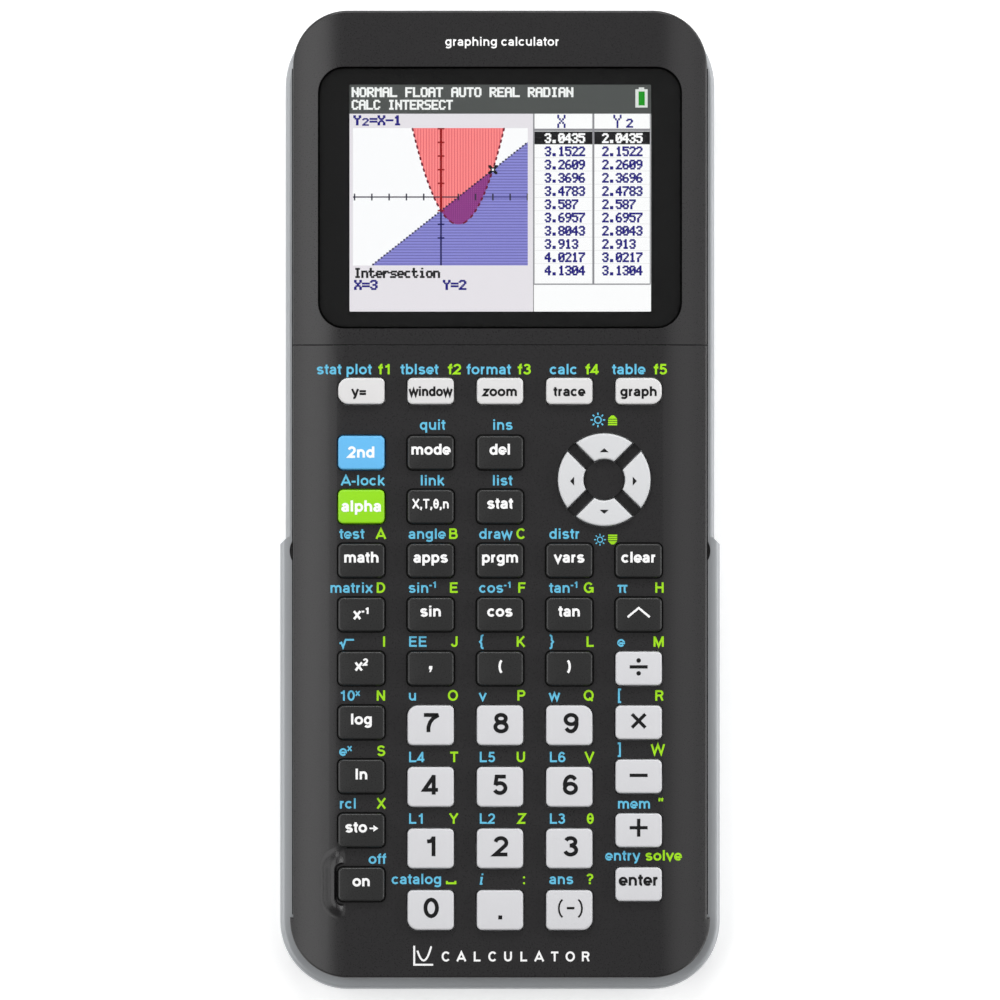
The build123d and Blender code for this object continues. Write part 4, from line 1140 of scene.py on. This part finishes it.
def make_window():
    """The lens's clear material, the black print round the picture under it, and a black ring at its edge
    that is painted shade for the gap round the lens.
    """
    paint_node(frame["nodes"]["display_window"], clear_lens())
    centre = node_centre("display_window")
    width, height, corners = LENS[3] - LENS[0], LENS[4] - LENS[1], [4.9 * MM] * 4
    rise = BAR_RISE * DOT
    picture = (DISPLAY_LEFT + DISPLAY_WIDTH / 2, DISPLAY_TOP + rise / 2 - DOTS_DOWN * DOT / 2)
    inner = rounded_outline(picture, DISPLAY_WIDTH, DOTS_DOWN * DOT + rise, [0.2 * MM] * 4)
    maker = bmesh.new()
    add_frame(maker, rounded_outline(centre, width, height, corners, 0.1 * MM), inner,
              LENS[2] + 0.02 * MM, LENS[2] + 0.05 * MM)
    piece("window_print", maker, ink("black_print", NEAR_BLACK, 0.22), CASE, smooth=30)
    # the black ring at the lens's edge is painted shade: it stands in for the shadow in the gap between lens
    # and bezel
    maker = bmesh.new()
    edge = [rounded_outline(centre, width - 2 * inset, height - 2 * inset, [c - inset for c in corners])
            for inset in EDGE_SHADE_INSETS]
    add_frame(maker, *edge, LENS[5] - 0.3 * MM, LENS[5] + 0.04 * MM)
    piece("window_edge_shade", maker, ink("black_edge_shade", NEAR_BLACK, 0.02), CASE, smooth=30)


# ---- details moulded into the covers, and painted shade along their joints with the rails
# the bank's crest line: how far left of the key, how much shorter at each end, and the radius of its bends
CREST_OUT, CREST_SHORT, CREST_BEND = 0.8 * MM, 0.6 * MM, 1.6 * MM
# the bank's height, the width of the shelf on top, how steeply the shelf falls, and how far its ends fade out
CREST_RISE, SHELF, SHELF_FALL, END_FADE = 0.95 * MM, 0.3 * MM, 0.26, 2.0 * MM
# how wide the inner slope is, in metres, then the outer one and what it gains at the top, in millimetres
INNER_RUN, OUTER_RUN, EXTRA_RUN_AT_TOP = 0.5 * MM, 2.7, 0.8
GUARD_STEPS = (44, 120)


def make_guard():
    """The bank round the outer side of the on key: steep inside, with a soft outer slope."""
    centre, width, height = key_plan("on")
    left, bottom, top = centre[0] - width / 2, centre[1] - height / 2, centre[1] + height / 2
    x0, x1 = left - 3.9 * MM, left + 1.6 * MM
    y0, y1 = bottom - 4.0 * MM, top + 4.8 * MM
    crest_x = left - CREST_OUT
    low, high = bottom + CREST_SHORT, top - CREST_SHORT

    def crest(x, y):
        """(distance outward from the crest line, how far along its ends, how much it faces the top)."""
        if low <= y <= high:
            return crest_x - x, 0.0, 0.0
        away = Vector((min(x - crest_x - CREST_BEND, 0.0), y - (high if y > high else low)))
        along_end = max(x - crest_x - 0.2 * CREST_BEND, 0.0)
        return away.length - CREST_BEND, along_end, max(away.y / away.length, 0.0)

    def rise(x, y):
        """The bank's height: a narrow shelf at the crest, a steep inner side and a rounded outer slope."""
        out, end, upward = crest(x, y)
        outer_run = (OUTER_RUN + EXTRA_RUN_AT_TOP * upward) * MM
        slope = max(out - SHELF, 0.0) / outer_run if out > 0 else -out / INNER_RUN
        if slope >= 1:
            return 0.0
        fade = max(1 - end / END_FADE, 0.0)
        crown = CREST_RISE - SHELF_FALL * min(max(out, 0.0), SHELF)
        ease = (math.cos(math.pi * slope) + 1) / 2
        return crown * (ease ** 1.7 if out > 0 else ease) * fade * fade * (3 - 2 * fade)

    across, along = GUARD_STEPS
    maker = bmesh.new()
    grid = {}
    opening = 0.25 * MM
    for i in range(across + 1):
        for j in range(along + 1):
            x, y = x0 + (x1 - x0) * i / across, y0 + (y1 - y0) * j / along
            inside = x > left - opening and bottom - opening < y < top + opening
            if not inside:
                grid[i, j] = maker.verts.new((x, y, face_height(x) - 0.01 * MM + rise(x, y)))
    for i in range(across):
        for j in range(along):
            corners = [grid.get(k) for k in ((i, j), (i + 1, j), (i + 1, j + 1), (i, j + 1))]
            if all(corners):
                maker.faces.new(corners)
    base = bmesh.ops.extrude_face_region(maker, geom=list(maker.faces))
    for item in base["geom"]:
        if isinstance(item, bmesh.types.BMVert):
            item.co.z = face_height(item.co.x) - 0.35 * MM
    piece("on_key_guard", maker, PAINT["charcoal"], CASE, "front_plastic", smooth=60)


CATCH_PLACE, CATCH_HALF_WIDTH, CATCH_STRETCH = (0.59 * MM, -9.7 * MM), 0.62 * MM, 2.9


def make_catches():
    """The dark liner in each catch recess beside the rails."""
    for side in (-1, 1):
        x, y, z = side * (COVER[3] - CATCH_PLACE[0]), CATCH_PLACE[1], BACK[5]
        ring = arc((x, y), CATCH_HALF_WIDTH, 0, 360, 24)[:-1]
        outline = [(px, y + (py - y) * CATCH_STRETCH) for px, py in ring]
        maker = bmesh.new()
        loft(maker, [[(px, py, z - depth) for px, py in outline] for depth in (1.2 * MM, 0.25 * MM)])
        piece("catch_left" if side < 0 else "catch_right", maker, PAINT["charcoal"], CASE, "front_plastic")


def make_seams():
    """Painted shade: a thin black strip along the joint between the front covers and each rail, standing in
    for the shadow in that gap.
    """
    # each strip is painted shade, a black sheet where the joint between cover and rail only lies in shadow
    for side, name in ((-1, "seam_shade_left"), (1, "seam_shade_right")):
        inner, outer = side * (BEZEL[3] - 0.2 * MM), side * (BEZEL[3] + 0.2 * MM)
        bottom, top = COVER[1] + 12.0 * MM, BEZEL[4] - 11.0 * MM
        corners = ((inner, bottom), (outer, bottom), (outer, top), (inner, top))
        levels = (BACK[5] - 0.2 * MM, BACK[5] + 0.12 * MM)
        maker = bmesh.new()
        loft(maker, [[(x, y, z) for x, y in corners] for z in levels])
        piece(name, maker, ink(name + "_black", NEAR_BLACK, 0.2), CASE, "front_plastic")


# ---- materials of the CAD nodes that show as they are
def paint_node(thing, material):
    """Gives a CAD node one material."""
    thing.data.materials.clear()
    thing.data.materials.append(material)


def paint_nodes():
    """Each carried-over CAD node gets its own material."""
    nodes = frame["nodes"]
    for name in ("front_bezel", "keypad_cover"):
        paint_node(nodes[name], PAINT["charcoal"])
    for name in ("back_cover", "battery_door"):
        paint_node(nodes[name], PAINT["silver"])
    paint_node(nodes["lcd_module"], plastic("panel_glass", PANEL_GLASS, 0.3))
    paint_node(nodes["circuit_board"], assembled_board())
    paint_node(nodes["key_mat"], soft_silicone())
    paint_node(nodes["battery_pack"], plastic("shrink_wrap", SHRINK_WRAP, 0.4))
    paint_node(nodes["case_screws"], plated_steel())


# ---- the studio
def softbox(name, angle, towards, size, distance, radiance):
    """A soft panel, angle degrees off the vertical, on the side that towards points to."""
    data = bpy.data.lights.new(name, "AREA")
    data.shape = "RECTANGLE"
    data.size, data.size_y = size
    data.energy = radiance * math.pi * size[0] * size[1]
    lamp = bpy.data.objects.new(name, data)
    tilt = math.radians(angle)
    way = Vector((towards[0] * math.sin(tilt), towards[1] * math.sin(tilt), math.cos(tilt)))
    lamp.location = way * distance
    lamp.rotation_mode = "QUATERNION"
    lamp.rotation_quaternion = way.to_track_quat("Z", "Y")
    bpy.context.scene.collection.objects.link(lamp)


# the floor's own light, near and far, and how far out near and far are, in metres
FLOOR_GLOW, FLOOR_REACH = (0.28, 0.9), (0.3, 1.6)


def make_studio():
    """A near-white floor, a pale sky, and soft panels at the left, the right and the head."""
    world = bpy.data.worlds.new("studio")
    world.use_nodes = True
    put(world.node_tree.nodes["Background"], {"Color": (1, 1, 1, 1), "Strength": 0.15})
    bpy.context.scene.world = world
    softbox("left_panel", 32, (-1, 0), (1.3, 0.76), 1.2, 1.9)
    softbox("right_panel", 28, (1, 0), (1.3, 0.6), 1.2, 0.9)
    softbox("left_low_panel", 66, (-1, 0), (1.3, 0.36), 1.2, 1.8)
    softbox("right_low_panel", 66, (1, 0), (1.3, 0.36), 1.2, 4.8)
    softbox("head_panel", 52, (0, 1), (0.6, 0.24), 0.7, 6.0)
    maker = bmesh.new()
    half, below = 20.0, -0.2 * MM
    corners = ((-half, -half), (half, -half), (half, half), (-half, half))
    maker.faces.new([maker.verts.new((x, y, below)) for x, y in corners])
    mesh = bpy.data.meshes.new("floor")
    maker.to_mesh(mesh)
    maker.free()
    material, nodes, links, shader = empty_material("pale_floor")
    broad = noise(nodes, links, 3, 2.0)
    links.new(mottled(nodes, links, FLOOR_WHITE, broad, 0.004), shader.inputs["Base Color"])
    put(shader, {"Roughness": 0.9, "Emission Color": (1, 1, 1, 1)})
    place, reach = nodes.new("ShaderNodeTexCoord"), nodes.new("ShaderNodeVectorMath")
    reach.operation = "LENGTH"
    links.new(place.outputs["Object"], reach.inputs[0])
    glow = spread(nodes, links, reach.outputs["Value"], *FLOOR_GLOW, *FLOOR_REACH)
    links.new(glow, shader.inputs["Emission Strength"])
    mesh.materials.append(material)
    floor = bpy.data.objects.new("floor", mesh)
    bpy.context.scene.collection.objects.link(floor)
    bpy.context.scene.view_settings.view_transform = "Standard"


def make_camera():
    """Straight down on the face, through a long lens, with the whole length in view."""
    data = bpy.data.cameras.new("camera")
    data.lens = 1200
    data.clip_end = 50
    camera = bpy.data.objects.new("camera", data)
    view_height = 190 * MM
    distance = view_height / (data.sensor_width / data.lens)
    middle = (cad_box[0] + cad_box[1]) / 2
    camera.location = (middle[0], middle[1], FACE_Z + distance)
    bpy.context.scene.collection.objects.link(camera)
    bpy.context.scene.camera = camera


PAINT = {
    "charcoal": plastic("charcoal_plastic", CHARCOAL, 0.30, strength=0.18, rounding=0.08 * MM),
    "silver": painted_silver(),
    "dark": plastic("dark_key_plastic", DARK_KEY, 0.30),
}
for paint, paint_colour, unevenness in (("white", WHITE_KEY, 0.015), ("bright", BRIGHT_KEY, 0.015),
                                        ("arrow", ARROW_KEY, 0.015), ("blue", BLUE_KEY, 0.03),
                                        ("green", GREEN_KEY, 0.03)):
    PAINT[paint] = plastic(paint + "_key_plastic", paint_colour, 0.42, depth=unevenness)
for paint, paint_colour in LEGEND_COLOURS.items():
    PAINT[paint] = ink(paint, paint_colour)

paint_nodes()
for key_name in CAPS:
    make_key(key_name)
for quarter, arrow_name in enumerate(ARROW_REACH):
    make_arrow(arrow_name, 90 * quarter)
make_labels()
make_titles()
make_display()
make_window()
make_guard()
make_catches()
make_seams()
make_studio()
make_camera()
